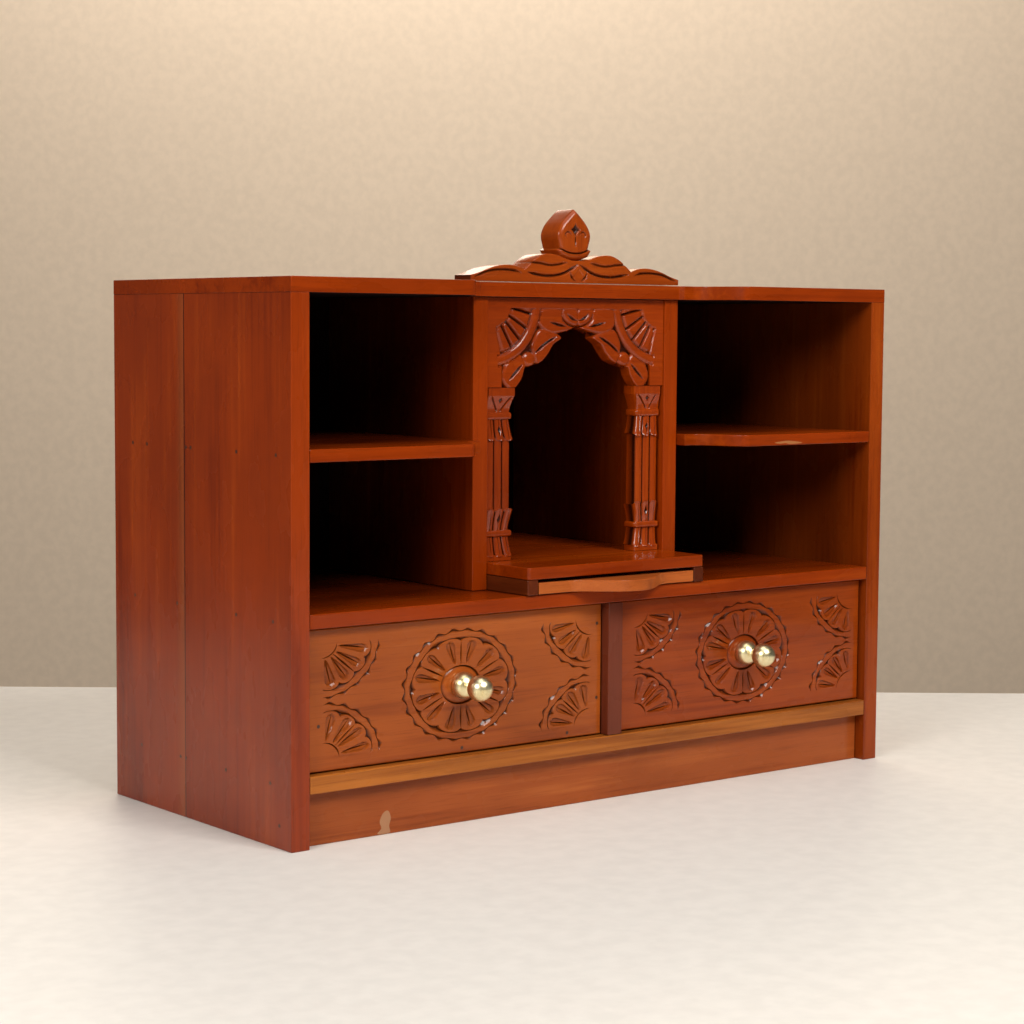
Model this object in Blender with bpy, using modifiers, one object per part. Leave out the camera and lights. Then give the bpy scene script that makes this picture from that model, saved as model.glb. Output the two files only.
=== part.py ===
"""Household altar cabinet: a carved, varnished table cabinet with a niche, four open bays and two drawers.

Metres, +Z up, +X to the viewer's right, the front faces -Y. The origin is on the floor, in the middle of
the whole object's width and depth. Places along the depth are written from the front edge of the side
panels, and grow towards the back; one empty carries every piece from there to the origin.
"""

import math

import bmesh
import bpy
from mathutils import Matrix, Vector

# Case
CASE_WIDTH = 0.6055
CASE_DEPTH = 0.2558
CASE_HEIGHT = 0.408
PANEL_THICKNESS = 0.0158
TOP_THICKNESS = 0.0114
BACK_THICKNESS = 0.008
BACK_CLEARANCE_ABOVE_FLOOR = 0.012
EDGE_EASE = 0.0008
PANEL_HEEL_RADIUS = 0.008
PANEL_TOE_RADIUS = 0.002

# Levels, from the floor up
KICK_HEIGHT = 0.0399
KICK_THICKNESS = 0.012
KICK_RECESS = 0.010
BOTTOM_BOARD_THICKNESS = 0.0128
DRAWER_OPENING_HEIGHT = 0.1057
MID_BOARD_THICKNESS = 0.0108
LOWER_BAY_HEIGHT = 0.1078
SHELF_THICKNESS = 0.0095

# Centre bay
NICHE_WIDTH = 0.183
DIVIDER_THICKNESS = 0.0145
DIVIDER_RECESS = 0.048
PARTITION_THICKNESS = 0.0145

# Curved fronts of the top board and the shelves
SHOULDER_BEYOND_DIVIDER = 0.040
CURVE_RUN = 0.033
TOP_CURVE_RECESS = 0.040
SHELF_CURVE_RECESS = 0.038
CENTRE_TOP_RECESS = 0.044
CENTRE_TOP_SETBACK = 0.003
CURVE_STEPS = 10

# Drawers
DRAWER_RECESS = 0.0074
DRAWER_SIDE_GAP = 0.0015
DRAWER_RISE_GAP = 0.0012
DRAWER_FRONT_THICKNESS = 0.012
DRAWER_WALL = 0.008
DRAWER_FLOOR_THICKNESS = 0.004
DRAWER_WALL_HEIGHT = 0.080
DRAWER_BACK_GAP = 0.006

# Carving on the drawer fronts, radii measured upright
OVAL = 1.27
ROSETTE_RADIUS = 0.043
FAN_RADIUS = 0.041
FAN_SIDE_MARGIN = 0.014
FAN_RISE_MARGIN = 0.0095
BOSS_RADIUS = 0.0145
CHIP_DEPTH = 0.0026
CHIP_LIFT = 0.001

# Knobs
KNOB_BASE_RADIUS = 0.010
KNOB_HEAD_RADIUS = 0.0092
KNOB_NECK_RADIUS = 0.0036
KNOB_REACH = 0.033
KNOB_SEGMENTS = 16

# Altar platform, its runners and the pull-out tray
PLATFORM_THICKNESS = 0.0093
PLATFORM_PROUD = 0.003
PLATFORM_CORNER_RADIUS = 0.003
RUNNER_WIDTH = 0.0104
RUNNER_HEIGHT = 0.0118
RUNNER_PROUD = 0.0025
TRAY_THICKNESS = 0.0088
TRAY_LENGTH = 0.190
TRAY_SIDE_GAP = 0.0006
TRAY_FLOOR_GAP = 0.0008
TRAY_PROUD = 0.0025
TRAY_BELL_HALF_WIDTH = 0.052
TRAY_BELL_DEPTH = 0.0258

# Arch panel
ARCH_RECESS = 0.0495
ARCH_THICKNESS = 0.011
ARCH_HEIGHT = 0.0699

# Columns
COLUMN_RECESS = 0.052
COLUMN_DEPTH = 0.012
COLUMN_WALL_GAP = 0.0022
SHAFT_WIDTH = 0.024

# Crest and finial
CREST_HALF_LENGTH = 0.1075
CREST_RECESS = 0.049
CREST_THICKNESS = 0.0215
CREST_BED = 0.0008
CREST_RISE = 0.0224
FINIAL_RECESS = 0.0535
FINIAL_DEPTH = 0.020
FINIAL_HALF_WIDTH = 0.0178
FINIAL_HEIGHT = 0.0405
FINIAL_FOOT_HALF_WIDTH = 0.006
CREST_DIP_HEIGHT = 0.0176
CARVED_LINE = 0.0011
PETAL_LINE = 0.0008
LINE_LIFT = 0.00015

# Glued and resting pieces keep this gap
FIT = 0.0003

# Levels and widths that follow
BOTTOM_BOARD_Z = KICK_HEIGHT
DRAWER_FLOOR_Z = BOTTOM_BOARD_Z + BOTTOM_BOARD_THICKNESS
MID_BOARD_Z = DRAWER_FLOOR_Z + DRAWER_OPENING_HEIGHT
BAY_FLOOR_Z = MID_BOARD_Z + MID_BOARD_THICKNESS
SHELF_Z = BAY_FLOOR_Z + LOWER_BAY_HEIGHT
TOP_Z = CASE_HEIGHT - TOP_THICKNESS
INNER_X = CASE_WIDTH / 2 - PANEL_THICKNESS
DIVIDER_INNER_X = NICHE_WIDTH / 2
DIVIDER_OUTER_X = DIVIDER_INNER_X + DIVIDER_THICKNESS
BACK_Y = CASE_DEPTH - BACK_THICKNESS
PLATFORM_Z = BAY_FLOOR_Z + RUNNER_HEIGHT + 2 * FIT
PLATFORM_TOP_Z = PLATFORM_Z + PLATFORM_THICKNESS
ARCH_Z = TOP_Z - ARCH_HEIGHT
CREST_Z = CASE_HEIGHT + CREST_BED
FINIAL_Z = CREST_Z + CREST_DIP_HEIGHT + FIT
FRONT_REACH = max(KNOB_REACH + FIT - DRAWER_RECESS, TRAY_PROUD + TRAY_BELL_DEPTH)
FRONT_EDGE_Y = FRONT_REACH - (CASE_DEPTH + FRONT_REACH) / 2

# Drawing planes: first the two drawn axes, then the way the thickness goes
PLAN = Matrix.Identity(4)
FRONT_VIEW = Matrix.Rotation(math.pi / 2, 4, "X")
SIDE_VIEW = Matrix(((0, 0, 1, 0), (1, 0, 0, 0), (0, 1, 0, 0), (0, 0, 0, 1)))


def clear_scene():
    """Remove whatever objects the scene already holds."""
    for old in list(bpy.data.objects):
        bpy.data.objects.remove(old, do_unlink=True)


def collection(name):
    """A new collection in the scene."""
    made = bpy.data.collections.new(name)
    bpy.context.scene.collection.children.link(made)
    return made


def finish(name, colour, roughness, metallic):
    """A plain material."""
    made = bpy.data.materials.new(name)
    made.use_nodes = True
    shader = made.node_tree.nodes["Principled BSDF"]
    shader.inputs["Base Color"].default_value = (*colour, 1.0)
    shader.inputs["Roughness"].default_value = roughness
    shader.inputs["Metallic"].default_value = metallic
    return made


def mesh_object(name, bm, material, parent, home):
    """An object made of a bmesh, in a collection and under a parent."""
    mesh = bpy.data.meshes.new(name)
    bmesh.ops.recalc_face_normals(bm, faces=bm.faces)
    bm.to_mesh(mesh)
    bm.free()
    made = bpy.data.objects.new(name, mesh)
    if material:
        mesh.materials.append(material)
    home.objects.link(made)
    made.parent = parent
    return made


def ease_edges(piece, width=EDGE_EASE):
    """Take the sharp arris off a board."""
    bevel = piece.modifiers.new("eased_edges", "BEVEL")
    bevel.width = width
    bevel.segments = 1
    bevel.limit_method = "ANGLE"
    bevel.angle_limit = math.radians(40)
    return piece


def board(name, low, high, material, parent):
    """A straight board between two corners, with eased edges."""
    low = Vector(low)
    high = Vector(high)
    size = high - low
    bm = bmesh.new()
    bmesh.ops.create_cube(bm, size=1.0, matrix=Matrix.Diagonal((*size, 1.0)))
    piece = mesh_object(name, bm, material, parent, PARTS)
    piece.location = (low + high) / 2
    return ease_edges(piece)


def outline_mesh(name, points, thickness, plane):
    """A mesh of a flat outline, drawn as a filled curve and given its thickness, half to each side."""
    curve = bpy.data.curves.new(name, "CURVE")
    curve.dimensions = "2D"
    curve.fill_mode = "BOTH"
    curve.extrude = thickness / 2
    spline = curve.splines.new("POLY")
    spline.points.add(len(points) - 1)
    for point, (u, v) in zip(spline.points, points):
        point.co = (u, v, 0.0, 1.0)
    spline.use_cyclic_u = True
    return curve_mesh(name, curve, plane)


def curve_mesh(name, curve, plane):
    """The mesh of a curve, with its caps welded on and turned to a drawing plane."""
    drawn = bpy.data.objects.new(name, curve)
    bpy.context.scene.collection.objects.link(drawn)
    evaluated = drawn.evaluated_get(bpy.context.evaluated_depsgraph_get())
    mesh = bpy.data.meshes.new_from_object(evaluated)
    bm = bmesh.new()
    bm.from_mesh(mesh)
    bmesh.ops.remove_doubles(bm, verts=bm.verts, dist=0.00001)
    bm.transform(plane)
    bpy.data.objects.remove(drawn, do_unlink=True)
    bpy.data.meshes.remove(mesh)
    return bm


def outline_piece(name, points, thickness, plane, place, material, parent):
    """A piece cut from a board along an outline."""
    bm = outline_mesh(name, points, thickness, plane)
    piece = mesh_object(name, bm, material, parent, PARTS)
    piece.location = place
    return piece


def arc(centre, radius, start, end, steps, oval=1.0):
    """Points along an arc, with its width stretched by oval."""
    angles = [start + (end - start) * step / steps for step in range(steps + 1)]
    return [
        (centre[0] + oval * radius * math.cos(angle), centre[1] + radius * math.sin(angle))
        for angle in angles
    ]


def smooth_line(knots, steps):
    """Points along a soft curve through the knots."""
    ends = [knots[0], *knots, knots[-1]]
    points = []
    for before, first, second, after in zip(ends, ends[1:], ends[2:], ends[3:]):
        for step in range(steps):
            t = step / steps
            points.append(tuple(
                0.5 * (2 * b + (c - a) * t + (2 * a - 5 * b + 4 * c - d) * t**2 + (3 * b - a - 3 * c + d) * t**3)
                for a, b, c, d in zip(before, first, second, after)
            ))
    points.append(knots[-1])
    return points


def both_sides(half):
    """A closed outline from its right half, listed from the middle outwards and round to the middle."""
    left = [(-u, v) for u, v in reversed(half) if abs(u) > 1e-6]
    return half + left


def chip(bm, frame, length, width, depth, sides, reach=0.0):
    """Add one chip cut: a pointed pit whose long axis is the frame's first axis."""
    total = depth + CHIP_LIFT
    spread = total / depth
    matrix = (
        frame
        @ Matrix.Translation((reach, 0, CHIP_LIFT - total / 2))
        @ Matrix.Diagonal((spread * length / 2, spread * width / 2, 1, 1))
        @ Matrix.Rotation(math.pi, 4, "X")
        @ Matrix.Rotation(math.pi / 2, 4, "Z")
    )
    bmesh.ops.create_cone(
        bm, cap_ends=True, segments=sides, radius1=1.0, radius2=0.0, depth=total, matrix=matrix
    )


def add_wheel_chips(bm, centre, radius, start, sectors, sector_angle, rim_chips):
    """Add the chips of a carved wheel, or of a part of one: grooves, petals, their tips and a zigzag rim."""
    wheel = FRONT_VIEW @ Matrix.Translation((*centre, 0)) @ Matrix.Diagonal((OVAL, 1, 1, 1))
    for sector in range(sectors):
        middle = start + (sector + 0.5) * sector_angle
        spoke = wheel @ Matrix.Rotation(middle, 4, "Z")
        chip(bm, spoke, 0.07 * radius, 0.36 * radius, CHIP_DEPTH * 0.7, 3, reach=0.86 * radius)
        for side in (-1, 1):
            petal = wheel @ Matrix.Rotation(middle + side * sector_angle / 4, 4, "Z")
            chip(bm, petal, 0.38 * radius, 0.155 * radius, CHIP_DEPTH, 6, reach=0.575 * radius)
    for line in range(sectors + 1):
        closed = sectors * sector_angle > 2 * math.pi - 0.01
        inner_line = 0 < line < sectors
        if inner_line or (closed and line == 0):
            groove = wheel @ Matrix.Rotation(start + line * sector_angle, 4, "Z")
            chip(bm, groove, 0.36 * radius, 0.045 * radius, CHIP_DEPTH * 0.8, 4, reach=0.585 * radius)
            chip(bm, groove, 0.09 * radius, 0.17 * radius, CHIP_DEPTH * 0.8, 3, reach=0.835 * radius)
    rim_angle = sectors * sector_angle / rim_chips
    for index in range(rim_chips):
        lean = math.radians(14)
        rim = (
            wheel
            @ Matrix.Rotation(start + (index + 0.5) * rim_angle, 4, "Z")
            @ Matrix.Translation((0.965 * radius, 0, 0))
            @ Matrix.Rotation(lean, 4, "Z")
        )
        chip(bm, rim, 0.055 * radius, 0.8 * rim_angle * radius, CHIP_DEPTH * 0.6, 3)


def petal_outline(centre, radius, start, sectors, sector_angle):
    """The scalloped line round the petals of a carved wheel: two lobes to a sector."""
    lobe_steps = 3
    lobes = 2 * sectors
    points = []
    for step in range(lobes * lobe_steps + 1):
        angle = start + sector_angle * step / (2 * lobe_steps)
        swell = abs(math.sin(math.pi * step / lobe_steps))
        reach = radius * (0.80 + 0.06 * swell)
        points.append((centre[0] + OVAL * reach * math.cos(angle), centre[1] + reach * math.sin(angle)))
    return points


def add_line(bm, points, width=CARVED_LINE, closed=False):
    """Add a V-shaped carved line along points of the front view, about as deep as it is wide to each side."""
    curve = bpy.data.curves.new("carved_line", "CURVE")
    curve.dimensions = "3D"
    curve.twist_mode = "Z_UP"
    curve.bevel_depth = width
    curve.bevel_resolution = 0
    curve.use_fill_caps = True
    spline = curve.splines.new("POLY")
    spline.points.add(len(points) - 1)
    for point, (u, v) in zip(spline.points, points):
        point.co = (u, v, 0.0, 1.0)
    spline.use_cyclic_u = closed
    line = curve_mesh("carved_line", curve, Matrix.Translation((0, -LINE_LIFT, 0)) @ FRONT_VIEW)
    mesh = bpy.data.meshes.new("carved_line")
    line.to_mesh(mesh)
    line.free()
    bm.from_mesh(mesh)
    bpy.data.meshes.remove(mesh)


def carve(piece, name, bm, solver_self=False):
    """Cut a mesh of chips or lines, given in the piece's own frame, out of the piece."""
    cutter = mesh_object(f"{piece.name}_{name}", bm, None, piece, CUTTERS)
    cutter.hide_render = True
    cutter.display_type = "WIRE"
    cut = piece.modifiers.new(name, "BOOLEAN")
    cut.object = cutter
    cut.operation = "DIFFERENCE"
    cut.solver = "EXACT"
    cut.use_self = solver_self


def rounded(corners):
    """An outline of corners, each (u, v, radius), with the rounded ones drawn as arcs."""
    points = []
    count = len(corners)
    for index, (u, v, radius) in enumerate(corners):
        here = Vector((u, v))
        if radius <= 0:
            points.append((u, v))
            continue
        before = (Vector(corners[index - 1][:2]) - here).normalized()
        after = (Vector(corners[(index + 1) % count][:2]) - here).normalized()
        centre = here + (before + after) * radius
        for step in range(5):
            turn = math.pi / 2 * step / 4
            offset = -after * math.cos(turn) - before * math.sin(turn)
            points.append(tuple(centre + offset * radius))
    return points


def side_panel(side, name):
    """A side panel, its back heel and front toe rounded."""
    height = TOP_Z - FIT
    outline = rounded([
        (0, 0, PANEL_TOE_RADIUS),
        (CASE_DEPTH, 0, PANEL_HEEL_RADIUS),
        (CASE_DEPTH, height, 0),
        (0, height, 0),
    ])
    place = (side * (CASE_WIDTH - PANEL_THICKNESS) / 2, 0, 0)
    return ease_edges(outline_piece(name, outline, PANEL_THICKNESS, SIDE_VIEW, place, WOOD, CASE))


def curved_front(recess):
    """The S-shaped stretch of a front edge, from its shoulder back to the divider, on the right side."""
    shoulder = DIVIDER_OUTER_X + SHOULDER_BEYOND_DIVIDER
    points = []
    for step in range(CURVE_STEPS + 1):
        t = step / CURVE_STEPS
        points.append((shoulder - CURVE_RUN * t, recess * (t - math.sin(2 * math.pi * t) / (2 * math.pi))))
    return points


def top_board():
    """The top board, set back over the niche by two S-curves."""
    half = [(DIVIDER_OUTER_X - CENTRE_TOP_SETBACK, CENTRE_TOP_RECESS), (DIVIDER_OUTER_X, TOP_CURVE_RECESS)]
    half += reversed(curved_front(TOP_CURVE_RECESS))
    half += [(CASE_WIDTH / 2, 0), (CASE_WIDTH / 2, CASE_DEPTH)]
    place = (0, 0, CASE_HEIGHT - TOP_THICKNESS / 2)
    outline = both_sides(half)
    return ease_edges(outline_piece("top_board", outline, TOP_THICKNESS, PLAN, place, WOOD, CASE))


def shelf(side, name):
    """A shelf between a side panel and a divider, ending in the same S-curve."""
    outer = INNER_X - FIT
    outline = [(DIVIDER_OUTER_X + FIT, BACK_Y - FIT), (DIVIDER_OUTER_X + FIT, SHELF_CURVE_RECESS)]
    outline += reversed(curved_front(SHELF_CURVE_RECESS))
    outline += [(outer, 0.001), (outer, BACK_Y - FIT)]
    outline = [(side * x, y) for x, y in outline]
    place = (0, 0, SHELF_Z + SHELF_THICKNESS / 2)
    return ease_edges(outline_piece(name, outline, SHELF_THICKNESS, PLAN, place, WOOD, CASE))


def case_boards():
    """The straight boards of the case."""
    across = INNER_X - FIT
    back = BACK_Y - FIT
    board("back_panel", (-across, BACK_Y, BACK_CLEARANCE_ABOVE_FLOOR), (across, CASE_DEPTH, TOP_Z - FIT), WOOD, CASE)
    board(
        "kick_board",
        (-across, KICK_RECESS, 0),
        (across, KICK_RECESS + KICK_THICKNESS, KICK_HEIGHT - FIT),
        WOOD,
        CASE,
    )
    board("bottom_board", (-across, 0, BOTTOM_BOARD_Z), (across, back, DRAWER_FLOOR_Z), PALE_WOOD, CASE)
    board("mid_board", (-across, 0, MID_BOARD_Z), (across, back, BAY_FLOOR_Z), WOOD, CASE)
    half = PARTITION_THICKNESS / 2
    board("drawer_partition", (-half, 0, DRAWER_FLOOR_Z + FIT), (half, back, MID_BOARD_Z - FIT), WOOD, CASE)
    for side, name in ((-1, "left_divider"), (1, "right_divider")):
        xs = sorted((side * DIVIDER_INNER_X, side * DIVIDER_OUTER_X))
        board(name, (xs[0], DIVIDER_RECESS, BAY_FLOOR_Z + FIT), (xs[1], back, TOP_Z - FIT), WOOD, CASE)


def altar():
    """The platform in the niche and the two runners that carry it."""
    half = DIVIDER_INNER_X - FIT
    front = -PLATFORM_PROUD
    back = BACK_Y - FIT
    outline = rounded([
        (-half, front, PLATFORM_CORNER_RADIUS),
        (half, front, PLATFORM_CORNER_RADIUS),
        (half, back, 0),
        (-half, back, 0),
    ])
    place = (0, 0, PLATFORM_Z + PLATFORM_THICKNESS / 2)
    ease_edges(outline_piece("altar_platform", outline, PLATFORM_THICKNESS, PLAN, place, WOOD, CASE))
    for side, name in ((-1, "left_runner"), (1, "right_runner")):
        xs = sorted((side * (half - RUNNER_WIDTH), side * half))
        low = BAY_FLOOR_Z + FIT
        board(name, (xs[0], -RUNNER_PROUD, low), (xs[1], back, low + RUNNER_HEIGHT), WOOD, CASE)


def tray():
    """The pull-out tray, with a bell-shaped bulge in the middle of its front."""
    half = DIVIDER_INNER_X - FIT - RUNNER_WIDTH - TRAY_SIDE_GAP
    front = []
    for step in range(CURVE_STEPS + 1):
        t = step / CURVE_STEPS
        bell = TRAY_BELL_DEPTH * (0.5 + 0.5 * math.cos(math.pi * t))
        front.append((TRAY_BELL_HALF_WIDTH * t, -bell))
    outline = both_sides([*front, (half, 0), (half, TRAY_LENGTH)])
    place = (0, -TRAY_PROUD, BAY_FLOOR_Z + TRAY_FLOOR_GAP + TRAY_THICKNESS / 2)
    slide = bpy.data.objects.new("tray_slide", None)
    PARTS.objects.link(slide)
    slide.parent = CASE
    slide.location = place
    ease_edges(outline_piece("pull_out_tray", outline, TRAY_THICKNESS, PLAN, (0, 0, 0), WOOD, slide))


def drawer_front(side, prefix, width, height, parent):
    """A drawer front with a carved rosette in the middle and a quarter fan in each corner."""
    bm = bmesh.new()
    bmesh.ops.create_cube(bm, size=1.0, matrix=Matrix.Diagonal((width, DRAWER_FRONT_THICKNESS, height, 1.0)))
    piece = mesh_object(f"{prefix}_front", bm, WOOD, parent, PARTS)
    piece.location = (0, DRAWER_FRONT_THICKNESS / 2, height / 2)
    ease_edges(piece)
    face = Matrix.Translation((0, -DRAWER_FRONT_THICKNESS / 2, 0))
    chips = bmesh.new()
    add_wheel_chips(chips, (0, 0), ROSETTE_RADIUS, math.radians(30), 6, math.radians(60), 24)
    corners = ((1, 1, 180), (-1, 1, 270), (-1, -1, 0), (1, -1, 90))
    for across, up, start in corners:
        centre = (across * (width / 2 - FAN_SIDE_MARGIN), up * (height / 2 - FAN_RISE_MARGIN))
        add_wheel_chips(chips, centre, FAN_RADIUS, math.radians(start), 2, math.radians(45), 6)
    chips.transform(face)
    carve(piece, "chips", chips)
    lines = bmesh.new()
    ring = arc((0, 0), BOSS_RADIUS, 0, 2 * math.pi, 20, OVAL)
    add_line(lines, ring[:-1], closed=True)
    petals = petal_outline((0, 0), ROSETTE_RADIUS, math.radians(30), 6, math.radians(60))
    add_line(lines, petals[:-1], PETAL_LINE, closed=True)
    for across, up, start in corners:
        centre = (across * (width / 2 - FAN_SIDE_MARGIN), up * (height / 2 - FAN_RISE_MARGIN))
        angles = math.radians(start), math.radians(start + 90)
        add_line(lines, arc(centre, BOSS_RADIUS, *angles, 5, OVAL))
        add_line(lines, petal_outline(centre, FAN_RADIUS, angles[0], 2, math.radians(45)), PETAL_LINE)
    lines.transform(face)
    carve(piece, "lines", lines, solver_self=True)
    return piece


def knob(name, place, parent):
    """A turned brass knob: a domed foot, a thin neck and a ball."""
    head_centre = KNOB_REACH - KNOB_HEAD_RADIUS
    profile = [(0.0, KNOB_REACH)]
    for step in range(1, 6):
        turn = math.pi * step / 7
        profile.append((KNOB_HEAD_RADIUS * math.sin(turn), head_centre + KNOB_HEAD_RADIUS * math.cos(turn)))
    foot_rise = 0.0085
    profile.append((KNOB_NECK_RADIUS, foot_rise + 0.002))
    for step in range(4):
        turn = math.pi / 2 * step / 3
        across = KNOB_NECK_RADIUS + (KNOB_BASE_RADIUS - KNOB_NECK_RADIUS) * math.sin(turn)
        profile.append((across, 0.0015 + (foot_rise - 0.0015) * math.cos(turn)))
    profile += [(KNOB_BASE_RADIUS, 0.0), (0.0, 0.0)]
    bm = bmesh.new()
    points = [bm.verts.new((across, 0, up)) for across, up in profile]
    for first, second in zip(points, points[1:]):
        bm.edges.new((first, second))
    mesh = bpy.data.meshes.new(name)
    bm.to_mesh(mesh)
    bm.free()
    mesh.materials.append(BRASS)
    piece = bpy.data.objects.new(name, mesh)
    PARTS.objects.link(piece)
    piece.parent = parent
    piece.location = place
    piece.rotation_euler = (math.pi / 2, 0, 0)
    turned = piece.modifiers.new("turned", "SCREW")
    turned.axis = "Z"
    turned.steps = KNOB_SEGMENTS
    turned.render_steps = KNOB_SEGMENTS
    turned.use_merge_vertices = True
    turned.merge_threshold = 0.0001
    return piece


def drawer(side, prefix):
    """A drawer on its own empty, which slides towards the front."""
    inner = PARTITION_THICKNESS / 2 + DRAWER_SIDE_GAP
    outer = INNER_X - DRAWER_SIDE_GAP
    width = outer - inner
    height = DRAWER_OPENING_HEIGHT - 2 * DRAWER_RISE_GAP
    slide = bpy.data.objects.new(f"{prefix}_slide", None)
    PARTS.objects.link(slide)
    slide.parent = CASE
    slide.location = (side * (inner + outer) / 2, DRAWER_RECESS, DRAWER_FLOOR_Z + DRAWER_RISE_GAP)
    drawer_front(side, prefix, width, height, slide)
    wall_front = DRAWER_FRONT_THICKNESS + FIT
    wall_back = BACK_Y - DRAWER_RECESS - DRAWER_BACK_GAP
    half = width / 2
    floor_top = DRAWER_FLOOR_THICKNESS
    for end, word in ((-1, "left_side"), (1, "right_side")):
        xs = sorted((end * (half - DRAWER_WALL), end * half))
        low = (xs[0], wall_front, floor_top + FIT)
        high = (xs[1], wall_back, floor_top + FIT + DRAWER_WALL_HEIGHT)
        board(f"{prefix}_{word}", low, high, WOOD, slide)
    inside = half - DRAWER_WALL - FIT
    low = (-inside, wall_back - DRAWER_WALL, floor_top + FIT)
    board(f"{prefix}_back", low, (inside, wall_back, floor_top + FIT + DRAWER_WALL_HEIGHT), WOOD, slide)
    board(f"{prefix}_bottom", (-half, wall_front, 0), (half, wall_back, floor_top), PALE_WOOD, slide)
    knob(f"{prefix}_knob", (0, -FIT, height / 2), slide)


def stretched(points, across, up):
    """Points given as shares, stretched to a piece's width and height."""
    return [(u * across, v * up) for u, v in points]


def arch_panel():
    """The arched panel between the dividers, with leaves, a ribbon and quarter fans.

    Its drawing is in shares of the panel's half width and height.
    """
    half = DIVIDER_INNER_X - FIT
    top = ARCH_HEIGHT - FIT
    opening = [
        (0.0, 0.695), (0.077, 0.649), (0.132, 0.621), (0.189, 0.603), (0.175, 0.553), (0.263, 0.481),
        (0.318, 0.381), (0.378, 0.295), (0.461, 0.251), (0.537, 0.227), (0.592, 0.208), (0.614, 0.115),
        (0.647, 0.050), (0.685, 0.0),
    ]
    outline = both_sides(stretched([*opening, (1.0, 0.0), (1.0, 1.0)], half, top))
    place = (0, ARCH_RECESS + ARCH_THICKNESS / 2, ARCH_Z)
    piece = outline_piece("arch_panel", outline, ARCH_THICKNESS, FRONT_VIEW, place, WOOD, CASE)
    corner = (0.965 * half, 0.963 * top)
    leaf_lines = (
        [(0.181, 0.879), (0.164, 0.783), (0.099, 0.711), (0.033, 0.704)],
        [(0.510, 0.431), (0.466, 0.553), (0.373, 0.621), (0.236, 0.611)],
        [(0.833, 0.101), (0.806, 0.216), (0.735, 0.309), (0.647, 0.345)],
    )
    leaf_ribs = (
        [(0.298, 0.733), (0.143, 0.695)],
        [(0.115, 0.816), (0.013, 0.764)],
        [(0.466, 0.395), (0.263, 0.553)],
        [(0.746, 0.101), (0.630, 0.227)],
    )
    half_lines = bmesh.new()
    half_chips = bmesh.new()
    for radius in (0.611 * top, 0.726 * top):
        add_line(half_lines, arc(corner, radius, math.radians(187), math.radians(256), 8))
    for knots in leaf_lines:
        add_line(half_lines, smooth_line(stretched(knots, half, top), 3))
    berry = (0.537 * half, 0.313 * top)
    add_line(half_lines, arc(berry, 0.079 * top, math.radians(20), math.radians(165), 6, 1.25))
    for degrees in (13, 30, 45, 59):
        rib = (
            FRONT_VIEW
            @ Matrix.Translation((*corner, 0))
            @ Matrix.Rotation(math.pi + math.radians(degrees), 4, "Z")
        )
        chip(half_chips, rib, 0.23 * top, 0.052 * top, CHIP_DEPTH, 6, reach=0.453 * top)
    for ends in leaf_ribs:
        start, end = (Vector(point) for point in stretched(ends, half, top))
        run = end - start
        rib = (
            FRONT_VIEW
            @ Matrix.Translation((*(start + run / 2), 0))
            @ Matrix.Rotation(math.atan2(run.y, run.x), 4, "Z")
        )
        chip(half_chips, rib, run.length, 0.043 * top, CHIP_DEPTH * 0.8, 6)
    for name, source in (("lines", half_lines), ("chips", half_chips)):
        source.transform(Matrix.Translation((0, -ARCH_THICKNESS / 2, 0)))
        carve(piece, name, with_mirror(source), solver_self=True)


def with_mirror(half):
    """A mesh of cutters together with its mirror image in X."""
    mesh = bpy.data.meshes.new("mirrored_half")
    half.to_mesh(mesh)
    half.transform(Matrix.Diagonal((-1, 1, 1, 1)))
    bmesh.ops.reverse_faces(half, faces=half.faces)
    half.from_mesh(mesh)
    bpy.data.meshes.remove(mesh)
    return half


def column_levels():
    """Rings of a column from the foot up: height as a share, half width, depth as a share, and reeding."""
    half = SHAFT_WIDTH / 2
    return [
        (0.000, half + 0.0020, 1.10, 0.00),
        (0.040, half + 0.0020, 1.10, 0.00),
        (0.048, half + 0.0024, 1.12, 0.12),
        (0.095, half + 0.0004, 1.00, 0.16),
        (0.140, half - 0.0006, 0.90, 0.06),
        (0.146, half + 0.0016, 1.06, 0.00),
        (0.176, half + 0.0016, 1.06, 0.00),
        (0.182, half - 0.0006, 0.92, 0.06),
        (0.235, half + 0.0006, 1.00, 0.14),
        (0.270, half + 0.0024, 1.12, 0.16),
        (0.278, half, 0.94, 0.14),
        (0.715, half, 0.94, 0.14),
        (0.722, half + 0.0024, 1.12, 0.16),
        (0.760, half + 0.0006, 1.00, 0.14),
        (0.815, half - 0.0006, 0.92, 0.06),
        (0.821, half + 0.0010, 1.04, 0.00),
        (0.856, half + 0.0010, 1.04, 0.00),
        (0.862, half - 0.0004, 0.94, 0.03),
        (0.945, half + 0.0030, 1.12, 0.03),
        (0.952, half + 0.0034, 1.14, 0.00),
        (1.000, half + 0.0034, 1.14, 0.00),
    ]


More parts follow.
